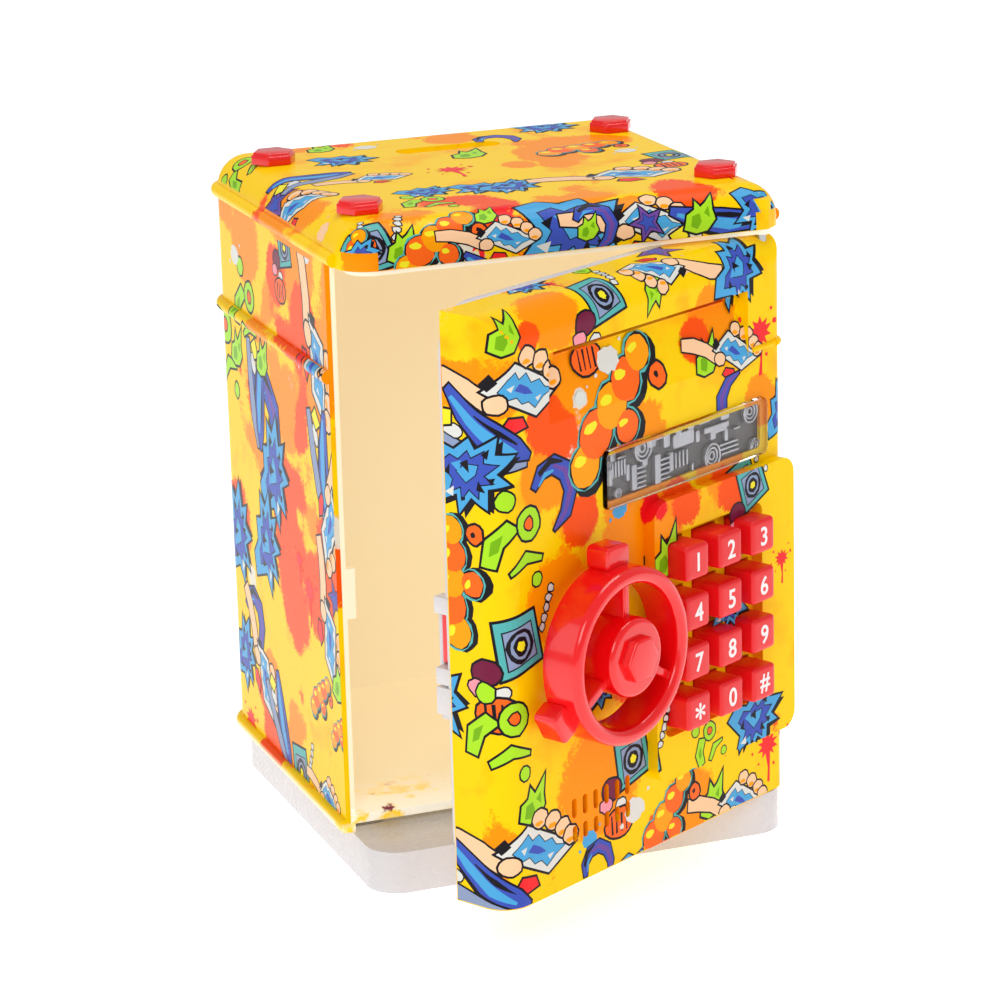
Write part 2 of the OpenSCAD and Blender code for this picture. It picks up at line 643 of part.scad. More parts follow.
module feeder_frame() color("gainsboro") door_place() difference() {
    union() {
        for (x = [frame_x_left - frame_plate_t, frame_x_right])
            translate([x, roller_y - 5, pinch_z - 4.5])
                cube([frame_plate_t, door_rear_y - roller_y + 4.8, feed_z - pinch_z + 8]);
        translate([frame_x_left - 1, door_rear_y - 2, pinch_z - 4.5])
            cube([frame_x_right - frame_x_left + 2, 1.8, 5]);
    }
    for (z = [feed_z, pinch_z])
        cross_cyl(frame_x_left - 9, frame_x_right + 9, roller_y, z, roller_shaft_r + run_gap);
}

module feed_motor() color("silver") door_place() {
    cross_cyl(door_x0 + 4.6, gear_x0 - 0.4, roller_y, motor_z, 5.5);
}

module motor_pinion() color("gold") door_place() translate([gear_x0, roller_y, motor_z]) rotate([0, 90, 0])
    rotate([0, 0, 180 / motor_teeth]) linear_extrude(gear_t) gear_outline(motor_teeth);

module feed_roller() color("white") door_place() {
    cross_cyl(gear_x0, frame_x_right + frame_plate_t + 1, roller_y, feed_z, roller_shaft_r);
    translate([gear_x0, roller_y, feed_z]) rotate([0, 90, 0]) linear_extrude(gear_t) gear_outline(gear_teeth);
}

roller_xs = [for (i = [-1:1]) note_x + i * 26];
module feed_tyres() color("dimgray") door_place() for (x = roller_xs) difference() {
    cross_cyl(x - 5, x + 5, roller_y, feed_z, roller_r);
    cross_cyl(x - 6, x + 6, roller_y, feed_z, roller_shaft_r);
}
module pinch_roller() color("dimgray") door_place() {
    cross_cyl(frame_x_left - frame_plate_t - 0.8, frame_x_right + frame_plate_t + 0.8,
        roller_y, pinch_z, roller_shaft_r);
    for (x = roller_xs) cross_cyl(x - 5, x + 5, roller_y, pinch_z, roller_r);
}

// ---------- lock ----------

module lock_solenoid() color("steelblue") door_place() difference() {
    translate([plunger_x - 6, door_in_y + 1, plunger_z - 6]) cube([12, door_rear_y - door_in_y - 4.4, 12]);
    door_cyl(plunger_x, plunger_z, door_in_y + 3, door_rear_y, plunger_r + run_gap);
}

module lock_plunger() color("silver") door_place() {
    door_cyl(plunger_x, plunger_z, door_in_y + 6, bolt_y0 + 0.1, plunger_r);
}

module latch_bolt() color("red") door_place() difference() {
    union() {
        translate([bolt_x0, bolt_y0, head_z0]) cube([head_l, latch_t, head_z1 - head_z0]);
        translate([bolt_x0 + head_l - 4.3, bolt_y0, bar_z0]) cube([4.3, latch_t, head_z1 - bar_z0]);
        translate([bolt_x0 + head_l - 1, bolt_y0, bar_z0])
            cube([bolt_x1 - bolt_x0 - head_l + 1, latch_t, bar_z1 - bar_z0]);
        // rack teeth that stand up to the pinion
        on_door(bolt_y0, bolt_y0 + latch_t) for (i = [-2:rack_teeth - 3])
            translate([wheel_x + i * PI * tooth_m, wheel_z - pinion_r]) polygon([
                [-1.0 * tooth_m, -1.5 * tooth_m], [-0.66 * tooth_m, 0], [-0.36 * tooth_m, 0.8 * tooth_m],
                [0.36 * tooth_m, 0.8 * tooth_m], [0.66 * tooth_m, 0], [1.0 * tooth_m, -1.5 * tooth_m]]);
    }
    // ramp that the lock plunger rides down as the bolt comes out
    translate([0, 0, plunger_z - plunger_r - slide_gap]) linear_extrude(2 * plunger_r + 2 * slide_gap) polygon([
        [plunger_x - plunger_r - 0.8, bolt_y0 - 1], [plunger_x - plunger_r - 0.8, bolt_y0 + ramp_gap],
        [plunger_x - plunger_r - 0.3, bolt_y0 + ramp_gap],
        [plunger_x - plunger_r - 0.3 + bolt_travel, bolt_y0 + plunger_travel + ramp_gap],
        [plunger_x + plunger_r + bolt_travel + 0.8, bolt_y0 + plunger_travel + ramp_gap],
        [plunger_x + plunger_r + bolt_travel + 0.8, bolt_y0 - 1]]);
}

module latch_cover() color("white") door_place() difference() {
    translate([flange_x1 + 0.4, latch_y1 + slide_gap + 0.05, bar_z0 - slide_gap - 2])
        cube([bolt_x1 - flange_x1 + 2.6, 1.6, head_z1 - bar_z0 + 2 * slide_gap + 4]);
    door_cyl(wheel_x, wheel_z, latch_y1, latch_y1 + 5, 3 + run_gap);
}

// ---------- handle ----------

module wheel_handle() color("red") door_place() {
    y0 = door_front_y - wheel_out;
    y1 = y0 + wheel_depth;
    difference() {
        union() {
            difference() {
                door_cyl(wheel_x, wheel_z, y0, y1, wheel_d / 2);
                door_cyl(wheel_x, wheel_z, y0 - 1, y1 + 1, wheel_d / 2 - rim_wall);
            }
            door_cyl(wheel_x, wheel_z, y0 - 1, y1 + 1.6, hub_d / 2);
            translate([wheel_x, y0 - 3.4, wheel_z]) rotate([-90, 0, 0]) cylinder(d = 13, h = 4, $fn = 6);
            for (a = [90, 210, 330]) translate([wheel_x, 0, wheel_z]) rotate([0, -a, 0]) {
                translate([hub_d / 2 - 1, y0 + 2.4, -1.3])
                    cube([wheel_d / 2 - rim_wall - hub_d / 2 + 2, wheel_depth - 4, 2.6]);
                difference() {
                    translate([wheel_d / 2 - 1, y1 - 7.2, -lug_w / 2]) cube([lug_r - wheel_d / 2 + 1, 7.2, lug_w]);
                    translate([wheel_d / 2 + 0.6, y1 - 5.4, -lug_w / 2 + 1.8])
                        cube([lug_r - wheel_d / 2 - 2.4, 9, lug_w - 3.6]);
                }
            }
        }
        door_cyl(wheel_x, wheel_z, y1 - 6, y1 + 3, 3);
        door_cyl(wheel_x, wheel_z, y0 + 3, y1, 1.2);
    }
}

module handle_spindle() color("white") door_place() {
    y1 = door_front_y - wheel_out + wheel_depth;
    difference() {
        union() {
            door_cyl(wheel_x, wheel_z, y1 - 5.9, latch_y1 + 1.5, 3);
            door_cyl(wheel_x, wheel_z, y1 + 1.7, cover_y - 0.2, spindle_d / 2);
            translate([wheel_x, latch_y1, wheel_z]) rotate([90, 0, 0])
                linear_extrude(latch_t - 0.2) gear_outline(pinion_teeth);
        }
        door_cyl(wheel_x, wheel_z, y1 - 7, y1 + 8, 1.2);
    }
}

module handle_screw() color("silver") door_place() {
    y1 = door_front_y - wheel_out + wheel_depth;
    door_cyl(wheel_x, wheel_z, door_front_y - wheel_out + 3.2, y1 + 7.8, 1.15);
}

// ---------- keys ----------

// one key: cap, shaft through the front, flange behind it; column -1..1, row 0..3 from the top
module key_cap(col, row) color("red") door_place() {
    x = key_mid_x + col * key_pitch_x;
    z = key_mid_z + (1.5 - row) * key_pitch_z;
    on_door(door_front_y - key_out, flange_y + eps)
        rounded_rect([x - key_w / 2, z - key_h / 2], [x + key_w / 2, z + key_h / 2], 1.2);
    on_door(flange_y, flange_y + flange_t)
        rounded_rect([x - key_w / 2 - key_flange, z - key_h / 2 - key_flange],
            [x + key_w / 2 + key_flange, z + key_h / 2 + key_flange], 1);
}

top_cap();
cabinet_shell();
base_tray();
bolt_caps();
base_screws();
hinge_pins();
door_front();
door_back();
window_lens();
relief_plate();
red_led();
green_led();
circuit_board();
board_chips();
key_domes();
speaker_basket();
speaker_cone();
speaker_magnet();
battery_cells();
battery_contacts();
battery_cover();
battery_screw();
door_screws();
feeder_frame();
feed_motor();
motor_pinion();
feed_roller();
feed_tyres();
pinch_roller();
lock_solenoid();
lock_plunger();
latch_bolt();
latch_cover();
wheel_handle();
handle_spindle();
handle_screw();
key_cap(-1, 0);  // key_1
key_cap(0, 0);  // key_2
key_cap(1, 0);  // key_3
key_cap(-1, 1);  // key_4
key_cap(0, 1);  // key_5
key_cap(1, 1);  // key_6
key_cap(-1, 2);  // key_7
key_cap(0, 2);  // key_8
key_cap(1, 2);  // key_9
key_cap(-1, 3);  // key_star
key_cap(0, 3);  // key_0
key_cap(1, 3);  // key_hash
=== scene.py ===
"""Toy safe coin bank: a printed plastic box with a bolted lid, a hinged keypad door and a white base tray."""

import json
import math
import random

import bmesh
import bpy
from mathutils import Matrix, Vector
from mathutils.geometry import delaunay_2d_cdt


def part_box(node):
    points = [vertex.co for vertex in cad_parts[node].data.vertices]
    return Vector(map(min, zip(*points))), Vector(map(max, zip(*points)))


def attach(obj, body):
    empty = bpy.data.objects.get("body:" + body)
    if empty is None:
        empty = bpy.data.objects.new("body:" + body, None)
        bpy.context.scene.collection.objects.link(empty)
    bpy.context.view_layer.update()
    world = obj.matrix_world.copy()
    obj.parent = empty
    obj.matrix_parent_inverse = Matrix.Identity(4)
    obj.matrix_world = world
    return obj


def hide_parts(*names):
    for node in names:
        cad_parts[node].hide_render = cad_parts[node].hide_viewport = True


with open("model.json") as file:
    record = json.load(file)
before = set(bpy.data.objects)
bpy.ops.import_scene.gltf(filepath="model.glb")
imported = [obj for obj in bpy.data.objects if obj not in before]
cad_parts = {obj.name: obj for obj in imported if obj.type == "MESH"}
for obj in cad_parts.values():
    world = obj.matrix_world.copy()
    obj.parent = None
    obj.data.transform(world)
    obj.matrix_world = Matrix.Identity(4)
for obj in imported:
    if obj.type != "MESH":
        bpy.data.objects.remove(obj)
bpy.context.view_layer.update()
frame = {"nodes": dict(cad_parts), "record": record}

MM = 0.001

# ---------- Cabinet shell ----------
# The box itself: one hollow moulding in white plastic, painted tan inside for the yellow film's bounce light,
# with a printed film over its outside and its front edges.
# The film stops at a bead above the base. Inside, the plastic is bare, and it glows a little: painted light
# standing in for light through the thin walls.


def ink_colour(r, g, b):
    """Linear colour of an ink given in the usual 0 to 255 steps."""
    steps = [c / 255 for c in (r, g, b)]
    return (*[c / 12.92 if c <= 0.04045 else ((c + 0.055) / 1.055) ** 2.4 for c in steps], 1.0)


class Nodes:
    """A short way to write a material's node tree."""

    def __init__(self, name):
        self.material = bpy.data.materials.new(name)
        self.material.use_nodes = True
        self.tree = self.material.node_tree
        self.shader = self.tree.nodes["Principled BSDF"]
        self.place = self.add("ShaderNodeTexCoord").outputs["Object"]

    def add(self, kind, **settings):
        node = self.tree.nodes.new(kind)
        for key, value in settings.items():
            setattr(node, key, value)
        return node

    def link(self, source, target):
        if hasattr(source, "is_linked"):
            self.tree.links.new(source, target)
        else:
            target.default_value = source

    def sum(self, operation, *values):
        node = self.add("ShaderNodeMath", operation=operation)
        for i, value in enumerate(values):
            self.link(value, node.inputs[i])
        return node.outputs[0]

    def step(self, value, low, high):
        """0 below low and 1 above high, with a straight rise between."""
        node = self.add("ShaderNodeMapRange", clamp=True)
        for i, x in enumerate((value, low, high, 0.0, 1.0)):
            self.link(x, node.inputs[i])
        return node.outputs[0]

    def mix(self, share, first, second):
        node = self.add("ShaderNodeMix", data_type="RGBA")
        self.link(share, node.inputs[0])
        self.link(first, node.inputs[6])
        self.link(second, node.inputs[7])
        return node.outputs[2]

    def noise(self, size, detail=2.0, rough=0.5, shift=0.0):
        """Noise whose lumps are about size metres across."""
        node = self.add("ShaderNodeTexNoise", noise_dimensions="4D")
        self.link(self.place, node.inputs["Vector"])
        node.inputs["W"].default_value = shift
        node.inputs["Scale"].default_value = 1 / size
        node.inputs["Detail"].default_value = detail
        node.inputs["Roughness"].default_value = rough
        return node.outputs[0]

    def split(self, vector):
        node = self.add("ShaderNodeSeparateXYZ")
        self.link(vector, node.inputs[0])
        return node.outputs

    def gloss(self, smooth, rough, size=0.004):
        """Roughness that wanders between two values."""
        self.link(self.sum("MULTIPLY_ADD", self.noise(size, 3.0, shift=3.0), rough - smooth, smooth),
                  self.shader.inputs["Roughness"])

    def bump(self, size, depth, detail=2.0, strength=0.3):
        """Fine relief: lumps of that size and depth, in metres."""
        node = self.add("ShaderNodeBump")
        node.inputs["Strength"].default_value = strength
        node.inputs["Distance"].default_value = depth
        self.link(self.noise(size, detail, shift=7.0), node.inputs["Height"])
        self.link(node.outputs[0], self.shader.inputs["Normal"])


def moulded(name, tint, smooth=0.25, rough=0.4, grain=0.0012, depth=0.00004, shade=0.06, **sockets):
    """Moulded plastic: a faint drift of colour, roughness that varies and a fine grain."""
    n = Nodes(name)
    dark = tuple(c * (1 - shade) for c in tint[:3]) + (1.0,)
    n.link(n.mix(n.step(n.noise(0.03, 3.0), 0.35, 0.65), tint, dark), n.shader.inputs["Base Color"])
    n.gloss(smooth, rough)
    n.bump(grain, depth)
    for socket, value in sockets.items():
        n.shader.inputs[socket.replace("_", " ")].default_value = value
    return n.material


def dress(material, *nodes):
    """Gives CAD nodes their finish."""
    for name in nodes:
        slots = frame["nodes"][name].data.materials
        slots.clear()
        slots.append(material)


YELLOW, AMBER, ORANGE = ink_colour(255, 209, 0), ink_colour(255, 148, 0), ink_colour(252, 84, 8)
RED, CREAM = ink_colour(244, 22, 28), ink_colour(232, 224, 206)
CLOUD_INKS = (AMBER, ORANGE, CREAM, RED)
SPARE_CLOUDS = (-3.4, -3.72, -3.9, -4.2)  # the lower, the fewer clouds of that ink beside the placed ones
# Strength of the painted glow on bare plastic, a stand-in for light through the thin walls.
PAINTED_GLOW = 0.27


def ground(name, clouds, bare=None, seed=0.0):
    """The sprayed ground of the film: yellow with clouds of amber, orange, cream and red, each given as
    (ink, centre, radius) in metres, with speckle at their edges. bare adds places where the plastic shows,
    as (plastic, function of Nodes), and gives them a faint painted glow of their own colour."""
    n = Nodes(name)
    ragged = n.sum("MULTIPLY_ADD", n.noise(0.0011, 2.0, 0.7, shift=seed), 0.9, -0.45)
    wander = n.sum("MULTIPLY_ADD", n.noise(0.008, 4.0, 0.6, shift=seed + 1), 2.4, -1.2)
    warm = n.step(n.noise(0.022, 3.0, 0.6, shift=seed + 2), 0.56, 0.70)
    colour = n.mix(warm, YELLOW, ink_colour(255, 180, 0))
    for ink, tint in enumerate(CLOUD_INKS):
        field = -1.0
        for kind, centre, radius in clouds:
            if kind != ink:
                continue
            gap = n.add("ShaderNodeVectorMath", operation="DISTANCE")
            n.link(n.place, gap.inputs[0])
            gap.inputs[1].default_value = centre
            lobe = n.sum("MULTIPLY_ADD", gap.outputs["Value"], -1 / radius, 1.0)
            field = n.sum("MAXIMUM", field, lobe) if field != -1.0 else lobe
        drift = n.noise(0.045, 2.0, 0.5, shift=seed + 4 + ink * 2.3)
        spare = n.sum("MULTIPLY_ADD", drift, 6.0, SPARE_CLOUDS[ink])
        field = n.sum("MAXIMUM", field, spare) if field != -1.0 else spare
        field = n.sum("ADD", field, n.sum("MULTIPLY", wander, 0.28))
        field = n.sum("ADD", field, n.sum("MULTIPLY", ragged, 0.5))
        colour = n.mix(n.step(field, 0.05, 0.16), colour, tint)
    rough = 0.0
    if bare:
        plastic, where = bare
        hidden = where(n)
        plastic = plastic(n) if callable(plastic) else plastic
        colour = n.mix(hidden, colour, plastic)
        # Painted glow: the bare plastic emits a little of its own colour, standing in for light through the
        # walls.
        n.link(n.mix(hidden, (0, 0, 0, 1), plastic), n.shader.inputs["Emission Color"])
        n.shader.inputs["Emission Strength"].default_value = PAINTED_GLOW
        rough = n.sum("MULTIPLY", hidden, 0.22)
    n.link(colour, n.shader.inputs["Base Color"])
    n.link(n.sum("ADD", n.sum("MULTIPLY_ADD", n.noise(0.005, 3.0, shift=3.0), 0.12, 0.2), rough),
           n.shader.inputs["Roughness"])
    n.shader.inputs["Specular IOR Level"].default_value = 0.08
    n.bump(0.0016, 0.00003)
    return n.material


def near(node):
    """The node's box in millimetres: lowest and highest corners."""
    low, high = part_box(node)
    return [c * 1000 for c in low], [c * 1000 for c in high]


(_, SHELL_FRONT, _), (SHELL_X1, SHELL_BACK, _) = near("cabinet_shell")
BEAD = 2.0
SIDE, REAR = SHELL_X1 - BEAD, SHELL_BACK - BEAD
CORNER = 9.5
BASE_BEAD, RIB, LID_EDGE = 14.2, 145.5, 177.8

# Painted reflection: the inside is white plastic, painted tan for the yellow film's light bouncing onto it.
TAN = ink_colour(240, 227, 196)


def outward(n, x, y, front):
    """How far a point lies outside the box's straight-sided middle: CORNER on the outer face, less inside."""
    over_x = n.sum("MAXIMUM", n.sum("SUBTRACT", n.sum("ABSOLUTE", x), (SIDE - CORNER) * MM), 0.0)
    over_y = n.sum("MAXIMUM", n.sum("MAXIMUM", n.sum("SUBTRACT", y, (REAR - CORNER) * MM),
                                    n.sum("SUBTRACT", (front + CORNER) * MM, y)), 0.0)
    return n.sum("SQRT", n.sum("ADD", n.sum("MULTIPLY", over_x, over_x), n.sum("MULTIPLY", over_y, over_y)))


def inside_or_below(n):
    """Where the shell has no film: its inside, and the strip under the lowest bead."""
    x, y, z = n.split(n.place)
    wall = n.step(outward(n, x, y, -1000.0), (CORNER - 1.4) * MM, (CORNER - 1.5) * MM)
    return n.sum("MAXIMUM", wall, n.step(z, (BASE_BEAD + 1) * MM, (BASE_BEAD - 0.6) * MM))


def scattered(seed, count, box, sizes=(9, 19)):
    """Random clouds in a box, in millimetres, for the sides that carry no placed ones."""
    chance = random.Random(seed)
    return [(chance.choice((0, 0, 1, 0, 0, 1)),
             tuple(chance.uniform(a, b) * MM for a, b in zip(box[0], box[1])), chance.uniform(*sizes) * MM)
            for _ in range(count)]


left_clouds = scattered(5, 12, ((-SIDE, SHELL_FRONT, 20), (-SIDE, REAR, 175)), (8, 16))
right_clouds = scattered(6, 12, ((SIDE, SHELL_FRONT, 20), (SIDE, REAR, 175)))
rear_clouds = scattered(7, 13, ((-SIDE, REAR, 20), (SIDE, REAR, 175)))
shell_clouds = left_clouds + right_clouds + rear_clouds


def inner_bounce_and_overspray(n):
    """Bare plastic painted tan for the yellow bounce light, with faint overspray from the film along the front
    of the floor.
    """
    x, y, z = n.split(n.place)
    front = n.sum("MULTIPLY", n.step(y, (SHELL_FRONT + 26) * MM, (SHELL_FRONT + 4) * MM),
                  n.step(z, 19.5 * MM, 18.5 * MM))
    drift = n.noise(0.013, 4.0, 0.6, shift=5.0)
    tint = n.mix(n.step(drift, 0.42, 0.5), YELLOW, ink_colour(250, 244, 226))
    tint = n.mix(n.step(n.noise(0.008, 4.0, 0.6, shift=9.0), 0.6, 0.66), tint, ink_colour(120, 40, 66))
    return n.mix(n.sum("MULTIPLY", front, n.step(drift, 0.3, 0.42)), TAN, tint)


dress(ground("shell_ground", shell_clouds, (inner_bounce_and_overspray, inside_or_below), 11.0), "cabinet_shell")

# ---------- Print film ----------
# The street-art film on the shell, lid and door: flat inks with black keylines over the sprayed ground.
# It is moulded on with the panels, so each ink is a skin just over the plastic that bends round their edges.

INKS = {
    "black": (26, 22, 28), "lime": (170, 226, 38), "leaf": (118, 178, 14), "paper": (222, 222, 216),
    "sky": (76, 166, 220), "navy": (62, 84, 184), "teal": (86, 178, 176), "peach": (252, 204, 160),
    "slate": (140, 156, 190), "lemon": (246, 232, 40), "amber": (255, 160, 0), "orange": (255, 104, 24),
    "red": (246, 40, 44), "maroon": (116, 28, 62), "pink": (244, 150, 164), "violet": (112, 74, 160),
}
INK_NAMES = list(INKS)


def ink_material(name):
    n = Nodes("ink_" + name)
    n.shader.inputs["Base Color"].default_value = ink_colour(*INKS[name])
    n.shader.inputs["Specular IOR Level"].default_value = 0.1
    n.gloss(0.22, 0.36)
    n.bump(0.0015, 0.00002)
    return n.material


ink_materials = [ink_material(name) for name in INK_NAMES]


def disc(x, z, rx, rz=None, count=14, ragged=0.0, turn=0.0):
    rz = rx if rz is None else rz
    grow = lambda i: 1 + (ragged if i % 2 else -ragged)
    return [(x + rx * grow(i) * math.cos(turn + math.tau * i / count),
             z + rz * grow(i) * math.sin(turn + math.tau * i / count)) for i in range(count)]


def stroke(points, widths):
    """A brush stroke: a strip along the points, with its width at each."""
    first, second = [], []
    for i, (x, z) in enumerate(points):
        x0, z0 = points[max(i - 1, 0)]
        x1, z1 = points[min(i + 1, len(points) - 1)]
        long = math.hypot(x1 - x0, z1 - z0)
        across = (-(z1 - z0) / long * widths[i] / 2, (x1 - x0) / long * widths[i] / 2)
        first.append((x + across[0], z + across[1]))
        second.append((x - across[0], z - across[1]))
    return second + first[::-1]


LEAF = [(-5, -3.5), (-4.2, 1), (-1.5, 2.2), (-0.5, 5.5), (1, 3), (3, 4.6), (5.4, 7.6), (4.6, 2), (5.2, -1),
        (2.5, -4.2), (-1.5, -5)]
SCRIBBLE = [(-10, 1.2), (-7, 3.6), (-4.5, 5.4), (-3, 3.2), (0, 4.2), (2, 1.5), (5, 1.8), (7, -0.6),
            (10.8, -1.7), (6.5, -3), (3.2, -5.4), (0.5, -3.2), (-2, -3.4), (-4, -1), (-7, -1.2)]
SPIKES = [(-12, 7), (-7, 9), (-3, 6.5), (2, 8), (3, 5), (9, 6), (7, 2.5), (12, 0), (6, -2), (8, -5.5),
          (3, -4.5), (1, -9), (-2, -5), (-7, -8), (-6, -3.5), (-12, -4), (-8.5, 0)]
BLOBS = [(-12, -7, 4.6), (-7.5, -1.5, 5.2), (-1.5, 2.5, 4.8), (4.5, 6, 4.6), (10, 10, 3.8), (2.6, -3.6, 3.6)]


def leaf():
    return [("lime", LEAF, 0.55), ("leaf", [(-3.2, -2.8), (-2.4, 0.3), (0, 1), (0.8, -1.5), (-0.8, -3.6)], 0),
            ("leaf", [(1.6, 1.2), (3.4, 3.2), (3.4, -0.4)], 0)]


def card():
    shapes = [("peach", stroke([(-34, 4), (-27, 3.6), (-19, 1.5), (-12, -2)], [4.6, 5.4, 5.2, 5]), 0.5),
              ("paper", [(-14.3, 1.2), (-4.4, 7.9), (14.6, -2.1), (3.5, -7.4)], 0.55),
              ("sky", SCRIBBLE, 0.22),
              ("navy", [(-5, 0.6), (-2.6, 2.4), (0.6, 0.6), (2.6, -1.4), (-0.8, -1.2)], 0),
              ("paper", [(-7.4, 1.6), (-5, 2.2), (-6, 0.4)], 0),
              ("paper", [(3.4, -2.6), (6, -2.2), (4.2, -3.8)], 0)]
    for x, z in ((0.4, 8.8), (5.8, 6.6), (9.9, 3.4), (13.2, 0.3)):
        shapes += [("peach", disc(x, z, 2.9, 2.6), 0.5), ("amber", disc(x - 0.4, z - 1.3, 1.7, 0.8, 8), 0)]
    return shapes + [("peach", disc(-10.6, -2.4, 3.3, 2.5), 0.5),
                     ("black", [(-15, 3), (-12, 6), (-10, 3.4), (-13, 1)], 0),
                     ("red", [(-7, -6.4), (-2, -7.2), (-0.6, -9.8), (-5.4, -10.6), (-8.6, -8.6)], 0.5)]


def shifted(shapes, x, z, size=1.0):
    return [(ink, [(x + size * p, z + size * q) for p, q in points], line) for ink, points, line in shapes]


def pile():
    """A leaf over a card over a swoosh, the commonest group."""
    return shifted(swoosh(), -8, -13, 0.95) + shifted(leaf(), -8, 13) + card()


def swoosh():
    return [("black", stroke([(-13, 6.4), (-6, 0.6), (2, -5.4), (11, -10)], [3, 7, 8, 3]), 0),
            ("slate", stroke([(-19, -5), (-7, -8), (4, -10), (13, -10)], [3, 4, 4, 1.6]), 0.45),
            ("navy", stroke([(-14, 8), (-8, 3), (0, -2), (9, -6), (14, -8)], [2.4, 6, 8, 5.6, 1.4]), 0.5),
            ("sky", stroke([(-12.6, 6), (-6, 0.8), (2, -4), (9, -7)], [1.2, 3, 3.4, 1]), 0),
            ("black", stroke([(-4, 2.4), (3, -1.4), (9, -4.4)], [0.4, 1.5, 0.3]), 0),
            ("paper", disc(-11, -3, 3.2, 1.8), 0.35),
            ("lemon", [(-17.4, 1.4), (-12.2, 2.4), (-12, -1.6), (-16.8, -2.8)], 0.5)]


def shards():
    return [("black", [(x + 1.2, z - 1.3) for x, z in SPIKES], 0), ("sky", SPIKES, 0.5),
            ("navy", [(x * 0.62 - 0.6, z * 0.62) for x, z in SPIKES], 0.25),
            ("sky", [(-4, 1.6), (-1, 2.6), (2.6, 1.4), (1, -0.6), (-2.4, -1.6)], 0.2),
            ("sky", [(-5, 3.4), (-2, 3.6), (-3.4, 1)], 0), ("black", [(-2.4, 3), (0, 3.4), (-0.6, 0.4)], 0),
            ("black", [(-8, 2.2), (-5.4, 3.6), (-6.6, 0.8)], 0), ("black", [(0, -4), (1.4, -2), (2, -5)], 0),
            ("black", [(4, 3.7), (6.6, 4.1), (5.2, 2)], 0), ("black", [(3.4, -2.4), (5.6, -2.8), (4, -4)], 0),
            ("paper", [(-9.4, -2.4), (-6.4, -1.8), (-7.4, -3.8)], 0),
            ("black", disc(-4.6, -5, 0.8, 0.6, 8), 0)]


def hook():
    line = [(-8, 4), (-5, 8), (0, 9), (5, 6.5), (7, 1), (5, -5), (0, -9)]
    return [("navy", stroke(line, [2, 4, 5, 5.4, 5, 4, 0.8]), 0.5),
            ("violet", stroke(line[2:], [0.8, 1.8, 2, 1.6, 0.4]), 0),
            ("black", stroke([(-6, 7.6), (-1, 10.4), (4, 9)], [1.4, 2.2, 0.6]), 0),
            ("sky", stroke([(-6, 4.4), (-3.4, 7), (0.2, 7.6)], [0.6, 1.3, 0.5]), 0)]


def bubbles():
    shapes = [("black", disc(x + 1.1, z - 1.1, r + 1.1), 0) for x, z, r in BLOBS]
    shapes += [("teal", disc(x, z, r + 0.8), 0) for x, z, r in BLOBS]
    shapes += [("black", disc(x, z, r + 0.35), 0) for x, z, r in BLOBS]
    shapes += [("orange" if i % 2 else "amber", disc(x, z, r), 0) for i, (x, z, r) in enumerate(BLOBS)]
    shapes += [("lemon", disc(x - r * 0.3, z + r * 0.35, r * 0.42, r * 0.24, 9), 0) for x, z, r in BLOBS]
    return shapes + [("orange", disc(14.6, 3.4, 2.6), 0.55), ("black", disc(14.2, 3.8, 0.8, None, 8), 0)]


def sprigs():
    return [("lime", [(-8, -6), (-7, 1), (-1, 6), (3, 3.4), (-2, -0.6), (-4, -6.4)], 0.55),
            ("lime", disc(7, 4, 4.4), 0.55), ("orange", disc(7, 4, 1.7, None, 10), 0.4),
            ("lime", stroke([(0, -8.6), (6, -5), (12, -6.4)], [1.4, 3, 1]), 0.5),
            ("lime", disc(-1, 11.6, 2.7), 0.45), ("lime", disc(10, -12, 1.9, None, 10), 0.4),
            ("leaf", [(-6, -3), (-5, 0.6), (-2, 2.6), (-3.4, -2)], 0)]


def amplifier():
    shapes = [("teal", [(-7, 7), (5, 9), (8, -4), (-5, -7)], 0.6),
              ("slate", [(-4.6, 4.6), (4, 6), (6, -2.6), (-3.2, -5)], 0.3)]
    for ink, size in (("black", 4.4), ("slate", 3.3), ("black", 2.5), ("lemon", 1.3)):
        shapes.append((ink, disc(0.6, 0.7, size, None, 16), 0))
    shapes += [("maroon", disc(-9, -5.4, 4, 3.2), 0.5), ("pink", disc(-11.6, -9.4, 2.6, 2), 0.4),
               ("paper", disc(-5, -10.6, 2.2, 1.6), 0.35), ("orange", disc(-6, -16, 6, 4.2, 16), 0.55)]
    for i in range(4):
        shapes.append(("black", stroke([(-9.2 + 2.1 * i, -13.2), (-9 + 2.1 * i, -18.8)], [0.8, 0.8]), 0))
    return shapes + [("paper", disc(8.4 + i * 0.9, 3.4 + i * 2.3, 1, None, 8), 0.3) for i in range(5)]


def splat():
    shapes = [("red", disc(0, 0, 4.4, 3.6, 20, 0.28), 0),
              ("red", stroke([(0, -2), (0.5, -8), (0.2, -12.6)], [2.4, 0.9, 1.5]), 0)]
    for x, z, r in ((7, 2, 0.9), (-6.4, 4.4, 0.7), (3, -7, 0.6), (-5, -5.4, 0.5), (5.4, 6, 0.5),
                    (-8.4, -1, 0.5)):
        shapes.append(("red", disc(x, z, r, None, 8), 0))
    return shapes


def star():
    points = [(r * math.cos(a), r * math.sin(a)) for r, a in
              ((9 if i % 2 else 3.8, math.tau * i / 10) for i in range(10))]
    return [("violet", points, 0.6), ("navy", [(x * 0.55, z * 0.55) for x, z in points], 0.2)]


def spot(ink, size):
    return lambda: [(ink, disc(0, 0, size, size * 0.8, 18, 0.06), 0),
                    (ink, disc(size * 1.4, size, 0.5, None, 7), 0),
                    (ink, disc(-size * 1.3, -size * 0.7, 0.6, None, 7), 0)]


DRAWN = {"leaf": leaf, "pile": pile, "card": card, "swoosh": swoosh, "shards": shards, "hook": hook,
         "bubbles": bubbles, "sprigs": sprigs, "amplifier": amplifier, "splat": splat, "star": star,
         "white": spot("paper", 3.4), "flesh": spot("peach", 3.6), "blue": spot("sky", 3.2)}


